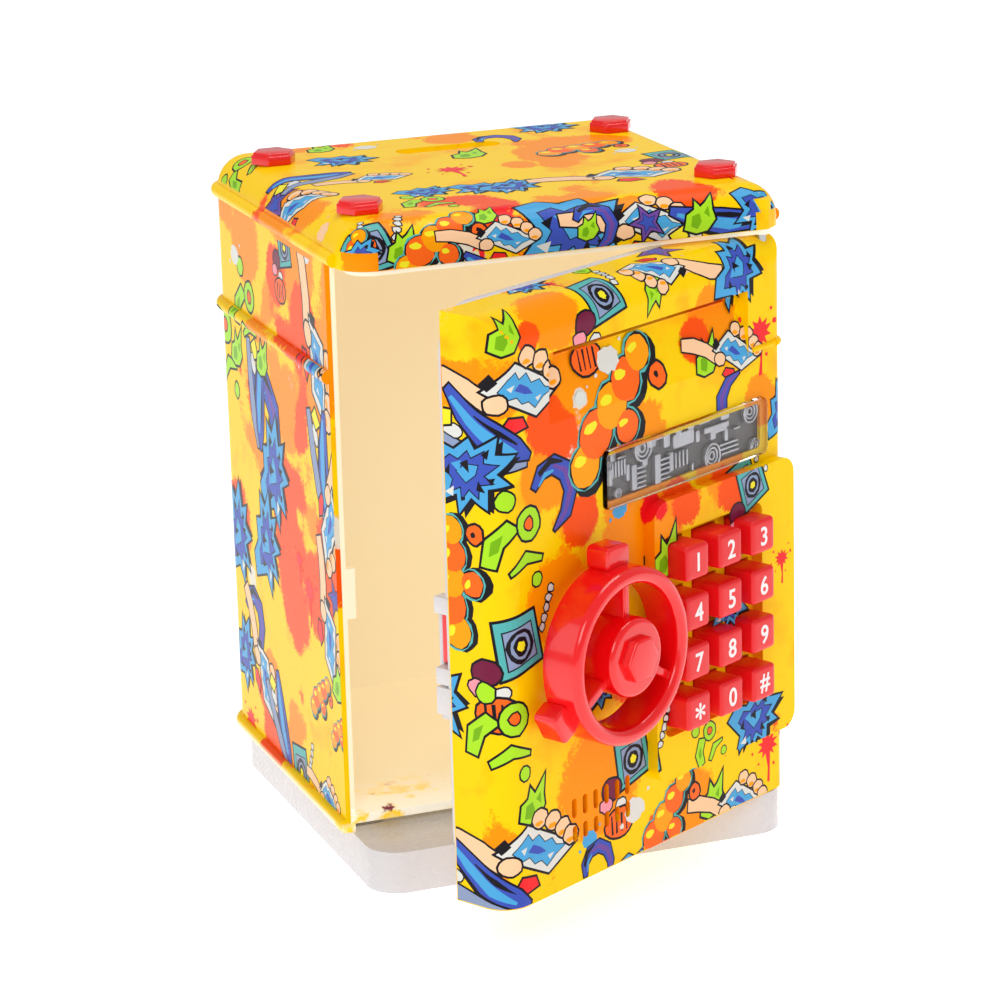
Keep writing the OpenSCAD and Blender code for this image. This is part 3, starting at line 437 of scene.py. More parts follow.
def keyline(points, width):
    """The outline beneath a shape: the shape grown outwards by width."""
    area = sum(x0 * z1 - x1 * z0 for (x0, z0), (x1, z1) in zip(points, points[1:] + points[:1]))
    side = 1 if area > 0 else -1
    grown = []
    for i, (x, z) in enumerate(points):
        (xa, za), (xb, zb) = points[i - 1], points[(i + 1) % len(points)]
        a, b = Vector((x - xa, z - za)).normalized(), Vector((xb - x, zb - z)).normalized()
        lean = a + b
        lean = lean.normalized() if lean.length > 1e-6 else a
        reach = width / max(0.45, a.dot(lean))
        grown.append((x + lean.y * reach * side, z - lean.x * reach * side))
    return grown


HAND_WOBBLE = 0.22


def placed(rows, seed):
    """Every shape of the motifs in rows of (motif, x, z, size, degrees), lowest first, with keylines."""
    chance, shapes = random.Random(seed), []
    for kind, x, z, size, degrees in rows:
        c, s = math.cos(math.radians(degrees)), math.sin(math.radians(degrees))
        for ink, points, line in DRAWN[kind]():
            points = [(p + chance.uniform(-HAND_WOBBLE, HAND_WOBBLE),
                       q + chance.uniform(-HAND_WOBBLE, HAND_WOBBLE)) for p, q in points]
            points = [(x + size * (c * p - s * q), z + size * (s * p + c * q)) for p, q in points]
            if line:
                shapes.append(("black", keyline(points, 1.3 * line * min(size, 1.1))))
            shapes.append((ink, points))
    return shapes


def film(name, body, shapes, box, bends_x, bends_z, place, holes=(), zones=()):
    """One skin of ink over a panel. shapes are in the flattened panel's millimetres, box is its
    (x0, z0, x1, z1), the bends are lines where it must be able to fold, and place(x, z, zone) gives the
    point on the object."""
    x0, z0, x1, z1 = box
    points, faces, inks = [], [], []

    def add(outline):
        area = sum(a[0] * b[1] - b[0] * a[1] for a, b in zip(outline, outline[1:] + outline[:1]))
        start = len(points)
        points.extend(Vector((round(x, 4), round(z, 4))) for x, z in (outline if area > 0 else outline[::-1]))
        faces.append(list(range(start, len(points))))

    add([(x0, z0), (x1, z0), (x1, z1), (x0, z1)])
    for outline in [*zones, *holes]:
        add(outline)
    first_ink = len(faces)
    for ink, outline in shapes:
        if max(p[0] for p in outline) > x0 and min(p[0] for p in outline) < x1 and \
                max(p[1] for p in outline) > z0 and min(p[1] for p in outline) < z1:
            add(outline)
            inks.append(INK_NAMES.index(ink))
    edges = []
    for x in bends_x:
        edges.append((len(points), len(points) + 1))
        points.extend((Vector((x, z0)), Vector((x, z1))))
    for z in bends_z:
        edges.append((len(points), len(points) + 1))
        points.extend((Vector((x0, z)), Vector((x1, z))))
    flat, _, cells, _, _, sources = delaunay_2d_cdt(points, edges, faces, 1, 1e-5)
    mesh = bmesh.new()
    made = {}
    for cell, owners in zip(cells, sources):
        top = max(owners, default=0)
        if 0 not in owners or top < first_ink:
            continue
        if any(1 + len(zones) <= o < first_ink for o in owners):
            continue
        zone = next((o for o in owners if 1 <= o <= len(zones)), 0)
        corners = []
        for i in cell:
            if (i, zone) not in made:
                made[i, zone] = mesh.verts.new(Vector(place(flat[i].x, flat[i].y, zone)) * MM)
            corners.append(made[i, zone])
        try:
            face = mesh.faces.new(corners)
        except ValueError:
            continue
        face.material_index = inks[top - first_ink]
    thin = [f for f in mesh.faces if f.calc_area() < 1e-12]
    bmesh.ops.delete(mesh, geom=thin, context="FACES")
    data = bpy.data.meshes.new(name)
    mesh.to_mesh(data)
    mesh.free()
    for material in ink_materials:
        data.materials.append(material)
    piece = bpy.data.objects.new(name, data)
    bpy.context.scene.collection.objects.link(piece)
    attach(piece, body)


def scatter(seed, box, gap, sizes=(0.8, 1.3)):
    """Motifs spread over a panel, at least gap millimetres apart."""
    chance, rows = random.Random(seed), []
    kinds = ["pile", "shards", "bubbles", "amplifier", "sprigs", "pile", "splat", "hook", "shards", "star"]
    for _ in range(900):
        x, z = chance.uniform(box[0], box[2]), chance.uniform(box[1], box[3])
        if all(math.hypot(x - r[1], z - r[2]) > gap for r in rows):
            kind = kinds[len(rows) % len(kinds)]
            rows.append((kind, x, z, chance.uniform(*sizes), chance.uniform(-70, 70)))
    return rows


FILM = 0.05
WALL_LONG = REAR - CORNER - SHELL_FRONT
BEND = CORNER * math.pi / 2
BACK_LONG = 2 * (SIDE - CORNER)
ROUND = 2 * (WALL_LONG + BEND) + BACK_LONG


def shell_point(w, z, _):
    """w runs round the shell from the left wall's front edge, at 0, to the right wall's, at -ROUND."""
    s = -w
    if s < WALL_LONG:
        x, y, nx, ny = -SIDE, SHELL_FRONT + s, -1, 0
    elif s < WALL_LONG + BEND:
        t = (s - WALL_LONG) / CORNER
        nx, ny = -math.cos(t), math.sin(t)
        x, y = -SIDE + CORNER + CORNER * nx, REAR - CORNER + CORNER * ny
    elif s < WALL_LONG + BEND + BACK_LONG:
        x, y, nx, ny = -SIDE + CORNER + s - WALL_LONG - BEND, REAR, 0, 1
    elif s < WALL_LONG + 2 * BEND + BACK_LONG:
        t = (s - WALL_LONG - BEND - BACK_LONG) / CORNER
        nx, ny = math.sin(t), math.cos(t)
        x, y = SIDE - CORNER + CORNER * nx, REAR - CORNER + CORNER * ny
    else:
        x, y, nx, ny = SIDE, REAR - CORNER - (s - WALL_LONG - 2 * BEND - BACK_LONG), 1, 0
    out = FILM + math.sqrt(max(0, BEAD ** 2 - (z - RIB) ** 2))
    return x + nx * out, y + ny * out, z


corner_bends = [-(start + BEND * i / 8)
                for start in (WALL_LONG, WALL_LONG + BEND + BACK_LONG) for i in range(9)]
rib_bends = [RIB + BEAD * k for k in (-1, -0.94, -0.8, -0.55, -0.25, 0, 0.25, 0.55, 0.8, 0.94, 1)]
SHELL_PRINT = [
    ("sprigs", -79.0, 149.1, 1, 0), ("white", -84.8, 163.1, 1.1, 0), ("amplifier", -36.3, 174.1, 0.8, 0),
    ("white", -16.1, 176.7, 1, 0), ("hook", -63.6, 114.7, 1.7, -15), ("swoosh", -64.1, 124.2, 1, -70),
    ("shards", -54.3, 105.5, 1.4, 80), ("shards", -64.4, 81.6, 1.3, 80), ("card", -9.5, 145.0, 1.1, -62),
    ("swoosh", -5.9, 117.8, 1, -60), ("card", -4.4, 100.8, 0.9, -100), ("shards", -93.0, 77.0, 1.3, 85),
    ("splat", -25.3, 77.4, 0.9, 0), ("splat", -33.7, 84.0, 0.6, 0), ("splat", -89.7, 17.5, 0.9, 0),
    ("hook", -80.7, 50.8, 1, 0), ("shards", -91.6, 39.4, 1, 70), ("card", -72.0, 35.2, 0.9, -50),
    ("swoosh", -55.3, 28.5, 0.9, -40), ("card", -7.8, 66.2, 0.9, -70), ("leaf", -1.9, 55.8, 1, 0),
    ("bubbles", -18.3, 46.5, 0.6, 0), ("amplifier", -40.7, 16.2, 1, 0), ("leaf", -87.3, 134.0, 1, 0),
    ("bubbles", -1.9, 41.2, 0.5, 0), ("sprigs", 9.8, 183.2, 0.6, 0), ("shards", -82.0, 0.6, 0.9, 30),
    ("card", -14.6, 17.3, 0.6, 0), ("leaf", -62.3, 136.5, 1, 0), ("star", -2.4, 81.0, 0.6, 0),
    ("blue", 8.0, 95.6, 0.8, 0), ("amplifier", 12.8, 136.6, 0.5, 0),
]
shell_box = (-ROUND, BASE_BEAD + BEAD, 0, LID_EDGE - 1.9)
rest_of_shell = scatter(21, (-ROUND, 20, -WALL_LONG - 6, 172), 25)
film("shell_print", "cabinet", placed(rest_of_shell + SHELL_PRINT, 3), shell_box, corner_bends, rib_bends,
     shell_point)

# ---------- Lid ----------
# A domed cap moulded on its own, printed like the shell, with a bare ivory lip under its lower edge.
# The coin slot goes through it, and the bolts hold it down.

(_, LID_FRONT, _), (_, _, LID_TOP) = near("top_cap")
IVORY = ink_colour(238, 228, 206)


def lip(n):
    """The bare lip, and the inside of the lid."""
    x, y, z = n.split(n.place)
    inner = 0.0
    out = outward(n, x, y, LID_FRONT)
    for reach, height in ((CORNER - 1.3, LID_TOP - CORNER), (0.2, LID_TOP - 1.5)):
        inner = n.sum("MAXIMUM", inner, n.sum("MULTIPLY", n.step(out, reach * MM, (reach - 0.15) * MM),
                                              n.step(z, height * MM, (height - 0.2) * MM)))
    return n.sum("MAXIMUM", inner, n.step(z, (LID_EDGE + 0.1) * MM, (LID_EDGE - 0.1) * MM))


LID_CLOUDS = [
    (1, -72.8, -13.7, 4.2), (0, -69.0, -78.2, 6.7), (0, 5.3, 49.0, 9.1), (0, -33.0, -64.7, 9.1),
    (3, -36.7, -97.8, 1.8), (1, 34.2, 15.4, 5.5), (0, 20.5, -60.5, 8.5), (1, -6.3, -68.6, 3.0),
    (2, -21.7, 47.6, 2.7), (2, 44.3, 6.4, 2.7), (0, -42.7, 55.6, 6.7), (0, 69.1, -5.4, 6.1),
    (0, 9.3, 1.5, 6.1), (2, -38.6, -87.3, 1.5), (0, -85.0, -26.9, 4.2), (1, -6.4, -97.2, 3.6),
]
lid_clouds = [(kind, (x * MM, y * MM, LID_TOP * MM), r * MM) for kind, x, y, r in LID_CLOUDS]
# The bare lip and the inside of the lid get the same painted glow.
dress(ground("lid_ground", lid_clouds, (IVORY, lip), 31.0), "top_cap")
LID_X, LID_Y0, LID_Y1 = SIDE - CORNER, LID_FRONT + CORNER, REAR - CORNER


def lid_point(x, y, _):
    """The flattened lid bends down over its rounded edges."""
    qx, qy = min(max(x, -LID_X), LID_X), min(max(y, LID_Y0), LID_Y1)
    d = math.hypot(x - qx, y - qy)
    if d < 1e-6:
        return x, y, LID_TOP + FILM
    nx, ny, t = (x - qx) / d, (y - qy) / d, d / CORNER
    r = CORNER + FILM
    if t > math.pi / 2:
        return qx + nx * r, qy + ny * r, LID_TOP - CORNER - (d - CORNER * math.pi / 2)
    return qx + nx * r * math.sin(t), qy + ny * r * math.sin(t), LID_TOP - CORNER + r * math.cos(t)


LID_PRINT = [
    ("star", -66.0, 4.4, 0.9, 10), ("sprigs", -63.9, 42.8, 0.8, 20), ("card", -63.1, -9.6, 0.8, -20),
    ("flesh", -66.0, -38.3, 1, 0), ("swoosh", -50.9, 14.2, 0.8, 30), ("amplifier", -58.1, -63.0, 1, 0),
    ("shards", -33.6, 31.6, 0.8, 0), ("card", -32.4, 2.5, 0.6, 10), ("splat", -10.6, 4.0, 0.9, 0),
    ("shards", -27.5, -22.5, 0.7, 20), ("sprigs", -34.6, -35.6, 0.7, 0), ("shards", -10.9, -25.0, 0.8, 0),
    ("leaf", 1.3, 22.9, 1, 0), ("bubbles", 34.2, 15.4, 0.8, -20), ("shards", 37.4, 51.5, 0.8, 0),
    ("amplifier", 52.4, -6.6, 0.8, 0), ("shards", -3.2, -26.0, 0.8, 40), ("card", 32.9, -26.1, 0.9, 0),
    ("shards", 3.3, -63.0, 1.4, 0), ("splat", -26.1, -63.0, 0.8, 0), ("card", 24.6, -63.0, 0.8, 0),
    ("swoosh", 44.6, -63.0, 0.9, 20), ("leaf", 38.5, -63.0, 0.9, 0), ("shards", 59.0, -62.5, 0.8, 0),
    ("splat", 54.5, -39.4, 0.6, 0), ("leaf", -34.8, 51.2, 0.8, 0), ("amplifier", -66.0, -61.3, 0.7, 0),
    ("white", -21.7, 47.6, 1, 0), ("white", 44.3, 6.4, 1, 0), ("bubbles", -66.0, -63.0, 0.6, 0),
    ("leaf", -48.7, -63.0, 0.8, 0), ("hook", 17.9, 40.2, 0.7, 30), ("hook", 7.7, -63.0, 0.7, 0),
    ("bubbles", -37.5, -63.0, 0.8, 0), ("pile", -18.1, -63.0, 0.6, 0), ("shards", -62.0, -63.0, 0.6, 0),
    ("leaf", 5.2, -63.0, 0.6, 0), ("star", 23.0, -63.0, 0.6, 0),
]
OVER = CORNER * 1.32
lid_bends_x = [k * (LID_X + OVER * i / 7) for k in (-1, 1) for i in range(7)]
FRONT_OVER = CORNER * math.pi / 2 + 2.5
lid_bends_y = [LID_Y0 - CORNER * math.pi / 2 * i / 8 for i in range(9)]
lid_bends_y += [LID_Y1 + OVER * i / 7 for i in range(7)]
COIN_Y, COIN_LONG, COIN_WIDE = REAR - 29, 14.6, 2.4
coin_hole = [(-COIN_LONG, COIN_Y - COIN_WIDE), (COIN_LONG, COIN_Y - COIN_WIDE),
             (COIN_LONG, COIN_Y + COIN_WIDE), (-COIN_LONG, COIN_Y + COIN_WIDE)]


def lid_corner(x, y):
    """The outline that a corner of the lid leaves bare."""
    cx, cy = math.copysign(LID_X, x), LID_Y0 if y < 0 else LID_Y1
    sx, sy = math.copysign(1, x), -1 if y < 0 else 1
    arc = [(cx + sx * OVER * math.cos(math.pi * i / 16), cy + sy * OVER * math.sin(math.pi * i / 16))
           for i in range(9)]
    reach = sy * (FRONT_OVER if y < 0 else OVER)
    return arc + [(cx, cy + reach), (cx + sx * OVER, cy + reach)]


lid_holes = [coin_hole] + [lid_corner(x, y) for x in (-1, 1) for y in (-1, 1)]
film("lid_print", "cabinet", placed(LID_PRINT, 4),
     (-LID_X - OVER, LID_Y0 - FRONT_OVER, LID_X + OVER, LID_Y1 + OVER), lid_bends_x, lid_bends_y, lid_point,
     lid_holes)

# ---------- Bolts, screws and pins ----------
# Four red hexagon caps pressed into the lid, four screws up through the base, and two plain steel hinge pins.
# The caps have rounded corners and a shallow dish in the top.

RED_GLOSS = moulded("red_gloss", ink_colour(244, 12, 18), 0.1, 0.22, 0.002, 0.00002, 0.08, Coat_Weight=0.3)
STEEL = moulded("plated_steel", ink_colour(190, 190, 190), 0.22, 0.42, 0.0008, 0.00002, 0.2, Metallic=1.0)


SHARP_EDGE = math.radians(32.0)


def soften(node, width, name=None, segments=2):
    """A copy of a CAD node whose sharp edges are rounded as a mould leaves them. It stands for the node."""
    source = frame["nodes"][node]
    piece = bpy.data.objects.new(name or node + "_moulded", source.data.copy())
    bpy.context.scene.collection.objects.link(piece)
    mesh = bmesh.new()
    mesh.from_mesh(piece.data)
    bmesh.ops.remove_doubles(mesh, verts=mesh.verts, dist=2e-6)
    bmesh.ops.dissolve_limit(mesh, angle_limit=math.radians(1.5), verts=mesh.verts, edges=mesh.edges)
    mesh.to_mesh(piece.data)
    mesh.free()
    bevel = piece.modifiers.new("Edges", "BEVEL")
    bevel.width, bevel.segments, bevel.limit_method = width * MM, segments, "ANGLE"
    bevel.angle_limit, bevel.use_clamp_overlap, bevel.miter_outer = SHARP_EDGE, True, "MITER_ARC"
    view = bpy.context.evaluated_depsgraph_get()
    finished = bpy.data.meshes.new_from_object(piece.evaluated_get(view))
    piece.modifiers.clear()
    piece.data = finished
    for face in finished.polygons:
        face.use_smooth = True
    finished.set_sharp_from_angle(angle=math.radians(35))
    body = next(b for b, nodes in frame["record"]["behaviour"]["bodies"].items() if node in nodes)
    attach(piece, body)
    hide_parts(node)
    return piece


def finish_in(piece, material):
    piece.data.materials.clear()
    piece.data.materials.append(material)
    return piece


finish_in(soften("bolt_caps", 0.7, "bolt_heads", 3), RED_GLOSS)
dress(STEEL, "base_screws", "hinge_pins", "battery_screw", "door_screws", "handle_screw")

# ---------- Base tray ----------
# A white moulded tray that carries the shell, with a rounded deck edge in front and screw posts inside.
# Its corners follow the shell's, and the four base screws hold the two together.

WHITE = moulded("white_moulding", ink_colour(216, 212, 214), 0.2, 0.34, 0.0014, 0.00001, 0.03)
finish_in(soften("base_tray", 0.9, "base_moulding", 3), WHITE)

# ---------- Door shell ----------
# A printed moulding with a rounded free edge and top, hung on the two pins, standing open.
# A raised frame surrounds the keys, and a sloping recess above the window leads to the note slot.

hinge = next(j for j in frame["record"]["behaviour"]["joints"] if j["name"] == "door_hinge")
HINGE = Vector(hinge["pos_m"])
SWING = -hinge["range_deg"][0]
OPEN = Matrix.Translation(HINGE) @ Matrix.Rotation(math.radians(SWING), 4, "Z") @ Matrix.Translation(-HINGE)
SHUT = OPEN.inverted()


def shut_box(node):
    """A door node's box in millimetres with the door shut."""
    corners = [SHUT @ v.co / MM for v in frame["nodes"][node].data.vertices]
    return [min(c[i] for c in corners) for i in range(3)], [max(c[i] for c in corners) for i in range(3)]


(DOOR_X0, _, DOOR_Z0), (DOOR_X1, DOOR_REAR, DOOR_Z1) = shut_box("door_front")
DOOR_X1 -= 1.3
DOOR_FACE = DOOR_REAR - 18.3
EDGE_R, HINGE_R = 8.0, 4.5
FRAME_OUT = 3.5
KEY_X, KEY_Z = DOOR_X1 - 38.25, DOOR_Z0 + 60.9
PITCH_X, PITCH_Z = 15.0, 14.4
WHEEL_X, WHEEL_Z = DOOR_X1 - 88.9, DOOR_Z0 + 65.8
WINDOW_X, WINDOW_Z, WINDOW_W, WINDOW_H = DOOR_X1 - 45.75, DOOR_Z0 + 110.4, 72.5, 16.7
RECESS = (DOOR_X1 - 103.4, DOOR_Z1 - 32.4, DOOR_X1 - 16.7, DOOR_Z1 - 13.2)
SPEAKER_X, SPEAKER_Z = DOOR_X1 - 85.2, DOOR_Z0 + 17.8


def on_door(piece, body="door", *nodes, slot=None):
    """Swings a piece made with the door shut to its place on the open door."""
    piece.data.transform(OPEN)
    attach(piece, body)
    if nodes:
        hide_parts(*nodes)
    return piece


DOOR_CLOUDS = [
    (0, -37.6, 173.8, 12.5), (0, -28.2, 147.6, 16.7), (0, -3.1, 131.1, 12.5), (0, -43.3, 129.2, 10.4),
    (0, -38.3, 94.9, 14.6), (0, -3.7, 108.7, 18.8), (0, -72.5, 103.8, 10.4), (0, -23.0, 39.5, 18.8),
    (0, 16.8, 21.5, 12.5), (0, 32.3, 114.5, 12.5), (0, 51.1, 130.5, 8.3), (0, 33.0, 157.1, 12.5),
    (0, -71.2, 87.1, 8.3), (1, -48.4, 168.3, 5.0), (1, -42.4, 143.9, 9.2), (1, -36.0, 138.4, 8.3),
    (1, -28.4, 114.7, 8.3), (1, 23.9, 153.3, 7.5), (1, 12.7, 109.9, 8.3), (1, 32.2, 108.7, 7.5),
    (3, 1.2, 110.6, 5.0), (2, -26.9, 147.6, 3.3), (2, -13.6, 155.2, 4.2), (1, -74.5, 104.3, 6.7),
    (1, 3.0, 16.8, 7.5), (0, 24.5, 183.9, 9.2), (0, -65.5, 29.7, 10.4),
]
door_clouds = [(kind, tuple(OPEN @ (Vector((x, DOOR_FACE, z)) * MM)), r * MM)
               for kind, x, z, r in DOOR_CLOUDS]
dress(ground("door_ground", door_clouds, None, 51.0), "door_front")


def bent(u, start, radius, sign):
    """Along a face, round an edge and down its side: the offset along the face, the depth and the lean."""
    past = (u - start) * sign
    if past <= 0:
        return u, 0.0, 0.0
    t = past / radius
    if t < math.pi / 2:
        return start + sign * radius * math.sin(t), radius * (1 - math.cos(t)), t
    return start + sign * radius, radius + past - radius * math.pi / 2, math.pi / 2


def door_point(u, v, zone):
    left, right = DOOR_X0 + EDGE_R, DOOR_X1 - HINGE_R
    x, deep_x, lean_x = bent(u, left, EDGE_R, -1) if u < left else bent(u, right, HINGE_R, 1)
    z, deep_z, lean_z = bent(v, DOOR_Z1 - EDGE_R, EDGE_R, 1)
    if zone == 1:
        return x, DOOR_FACE - FRAME_OUT - FILM, z
    if zone == 3:
        share = (v - RECESS[1]) / (RECESS[3] - RECESS[1])
        return x, DOOR_FACE + 3.6 * min(1, max(0, share)) - FILM, z
    if deep_x >= deep_z:
        side = math.copysign(1, u - WINDOW_X)
        return (x + side * FILM * math.sin(lean_x), DOOR_FACE + deep_x - FILM * math.cos(lean_x), z)
    return x, DOOR_FACE + deep_z - FILM * math.cos(lean_z), z + FILM * math.sin(lean_z)


def round_box(x0, z0, x1, z1, r, steps=5):
    outline = []
    for cx, cz, start in ((x1 - r, z1 - r, 0), (x0 + r, z1 - r, 90), (x0 + r, z0 + r, 180),
                          (x1 - r, z0 + r, 270)):
        outline += [(cx + r * math.cos(math.radians(start + 90 * i / steps)),
                     cz + r * math.sin(math.radians(start + 90 * i / steps))) for i in range(steps + 1)]
    return outline


pocket = (KEY_X - 22.65, KEY_Z - 29, KEY_X + 22.65, KEY_Z + 29)
frame_box = (pocket[0] - 3.5, KEY_Z - 41.6, DOOR_X1 - 0.4, KEY_Z + 39)
zones = [round_box(*frame_box, 5), round_box(*pocket, 3), round_box(*RECESS, 0.01, 1)]
holes = [round_box(WINDOW_X - WINDOW_W / 2, WINDOW_Z - WINDOW_H / 2, WINDOW_X + WINDOW_W / 2,
                   WINDOW_Z + WINDOW_H / 2, 2),
         round_box(RECESS[0] + 6, RECESS[3] - 2.4, RECESS[2] - 6, RECESS[3], 0.01, 1),
         disc(WHEEL_X, WHEEL_Z, 8.1, None, 24)]
for i in range(6):
    slot_x = SPEAKER_X - 12.5 + 4.6 * i
    holes += [round_box(slot_x, SPEAKER_Z + low, slot_x + 2, SPEAKER_Z + low + tall, 0.99, 3)
              for low, tall in ((-5.6, 4.6), (1.2, 5.6))]
key_spots = [(c, r) for r in range(4) for c in (-1, 0, 1)]
holes += [round_box(KEY_X + c * PITCH_X - 5.5, KEY_Z + (1.5 - r) * PITCH_Z - 5.3, KEY_X + c * PITCH_X + 5.5,
                    KEY_Z + (1.5 - r) * PITCH_Z + 5.3, 1.2) for c, r in key_spots]
DOOR_PRINT = [
    ("leaf", -57.1, 170.3, 1, 0), ("card", -49.7, 154.9, 1, 0), ("swoosh", -62.4, 146.5, 1, -6),
    ("shards", -67.7, 133.8, 1.15, 20), ("hook", -39.8, 123.5, 1, 0), ("sprigs", -57.3, 114.9, 1, 0),
    ("bubbles", -12.3, 140.1, 1.3, 8), ("amplifier", -16.1, 173.1, 1, 0), ("flesh", 19.9, 175.3, 1, 0),
    ("leaf", 5.7, 170.8, 0.8, 180), ("card", 10.2, 177.6, 0.75, 170), ("shards", 43.3, 170.4, 1, 60),
    ("splat", 51.3, 150.0, 1, 0), ("leaf", 27.4, 147.0, 0.9, 0), ("card", 41.1, 146.4, 0.7, -8),
    ("hook", 39.1, 133.7, 0.8, 160), ("shards", 62.4, 126.6, 0.8, 80), ("blue", -12.2, 113.6, 1, 0),
    ("amplifier", 42.4, 107.5, 0.85, 10), ("leaf", 3.1, 96.8, 1.1, 10), ("bubbles", -72.9, 103.4, 1, 55),
    ("amplifier", -55.1, 85.5, 1.1, 0), ("sprigs", -64.2, 62.5, 1, 0), ("shards", -81.9, 69.6, 1.1, 80),
    ("amplifier", -8.9, 40.5, 1, 0), ("leaf", -51.5, 40.7, 1, 0), ("card", -49.0, 27.3, 1, 0),
    ("swoosh", -66.6, 22.1, 1, -4), ("leaf", 27.0, 18.4, 1, 0), ("card", 41.1, 14.1, 0.75, -6),
    ("bubbles", 6.7, 18.1, 0.9, 10), ("shards", 44.3, 38.7, 1, 20), ("shards", 32.6, 75.9, 0.8, 10),
    ("splat", 53.8, 27.2, 0.9, 0), ("splat", 56.3, 83.5, 0.6, 0), ("white", -8.0, 26.2, 1.3, 0),
    ("white", -13.6, 155.2, 1.3, 0), ("splat", -22.8, 187.0, 0.5, 0), ("shards", -28.9, 190.8, 0.7, 0),
    ("star", 24.6, 188.0, 0.8, 0), ("leaf", -5.9, 190.7, 0.7, 40), ("white", -26.9, 147.6, 0.7, 0),
    ("shards", -22.2, 65.2, 0.6, 0), ("splat", 17.4, 51.1, 0.5, 20), ("sprigs", 19.4, 37.2, 0.6, 30),
    ("blue", -27.8, 23.5, 1, 0), ("hook", -23.7, 14.9, 0.7, 40), ("shards", -6.2, 7.8, 0.7, 0),
    ("leaf", 16.5, 3.6, 0.8, -30),
]
side_left, side_right = DOOR_X0 + EDGE_R - EDGE_R * math.pi / 2, DOOR_X1 - HINGE_R + HINGE_R * math.pi / 2
door_box = (side_left - 10, DOOR_Z0 + 0.3, side_right + 12.5, DOOR_Z1 - EDGE_R + EDGE_R * math.pi / 2 + 10)
fold_x = [DOOR_X0 + EDGE_R - EDGE_R * math.pi / 2 * i / 8 for i in range(9)]
fold_x += [DOOR_X1 - HINGE_R + HINGE_R * math.pi / 2 * i / 6 for i in range(7)]
fold_z = [DOOR_Z1 - EDGE_R + EDGE_R * math.pi / 2 * i / 8 for i in range(9)]
film("door_print", "door", placed(DOOR_PRINT, 6), door_box, fold_x, fold_z,
     lambda u, v, zone: OPEN @ (Vector(door_point(u, v, zone)) * MM) / MM, holes, zones)

# ---------- Inner cover ----------
# The white back of the door: a plate with big rounded corners, a tub for the cells and rails for the latch.
# It is held by four short screws.

finish_in(soften("door_back", 0.8, "door_back_moulding", 2), WHITE)
finish_in(soften("latch_cover", 0.6), WHITE)
finish_in(soften("battery_cover", 0.6), WHITE)
finish_in(soften("feeder_frame", 0.3), WHITE)

# ---------- Window ----------
# A clear raised cover over a metallised plate moulded with machine-like relief: rings, plates and combs.
# The cover clips into the door, and a lamp stands at each end of the relief.

CLEAR = moulded("clear_cover", ink_colour(250, 252, 255), 0.02, 0.05, 0.004, 0.00001, 0.0,
                Transmission_Weight=1.0, IOR=1.2)
SILVER = moulded("metallised", ink_colour(200, 198, 200), 0.24, 0.36, 0.0006, 0.00003, 0.25, Metallic=0.6)
finish_in(soften("window_lens", 0.5, "window_cover", 3), CLEAR)


def built(name, mesh, *materials):
    data = bpy.data.meshes.new(name)
    bmesh.ops.recalc_face_normals(mesh, faces=mesh.faces)
    mesh.to_mesh(data)
    mesh.free()
    for material in materials:
        data.materials.append(material)
    piece = bpy.data.objects.new(name, data)
    bpy.context.scene.collection.objects.link(piece)
    for face in data.polygons:
        face.use_smooth = True
    data.set_sharp_from_angle(angle=math.radians(38))
    return piece


def slab(mesh, outline, front, back, edge=0.25, index=0, crown=0.0):
    """A plate whose outline lies in the door's plane, from its front to its back, its front edge rounded."""
    middle_x, middle_z = (sum(p[i] for p in outline) / len(outline) for i in (0, 1))
    rings = []
    levels = [(0, back)] + [(edge * (1 - math.cos(a)), front + edge * (1 - math.sin(a)))
                            for a in (0, math.pi / 6, math.pi / 3, math.pi / 2)]
    for inset, y in levels:
        shrunk = keyline(outline, -inset) if inset else outline
        rings.append([mesh.verts.new(Vector((x, y, z)) * MM) for x, z in shrunk])
    if crown:
        for share in (0.78, 0.5, 0.2):
            y = front - crown * (1 - share * share)
            rings.append([mesh.verts.new(Vector((middle_x + share * (x - middle_x), y,
                                                 middle_z + share * (z - middle_z))) * MM) for x, z in shrunk])
    faces = [mesh.faces.new(rings[0]), mesh.faces.new(rings[-1])]
    for low, high in zip(rings, rings[1:]):
        faces += [mesh.faces.new((low[i - 1], low[i], high[i], high[i - 1])) for i in range(len(low))]
    for face in faces:
        face.material_index = index


def turned(mesh, x, z, profile, count=32, index=0):
    """A turned shape about an axis square to the door: profile is (radius, depth), and closes on itself."""
    round_turn = [math.tau * i / count for i in range(count)]
    rings = [[mesh.verts.new(Vector((x + r * math.cos(a), y, z + r * math.sin(a))) * MM) for a in round_turn]
             for r, y in profile]
    for a, b in zip(rings, rings[1:] + rings[:1]):
        for i in range(count):
            mesh.faces.new((a[i - 1], a[i], b[i], b[i - 1])).material_index = index


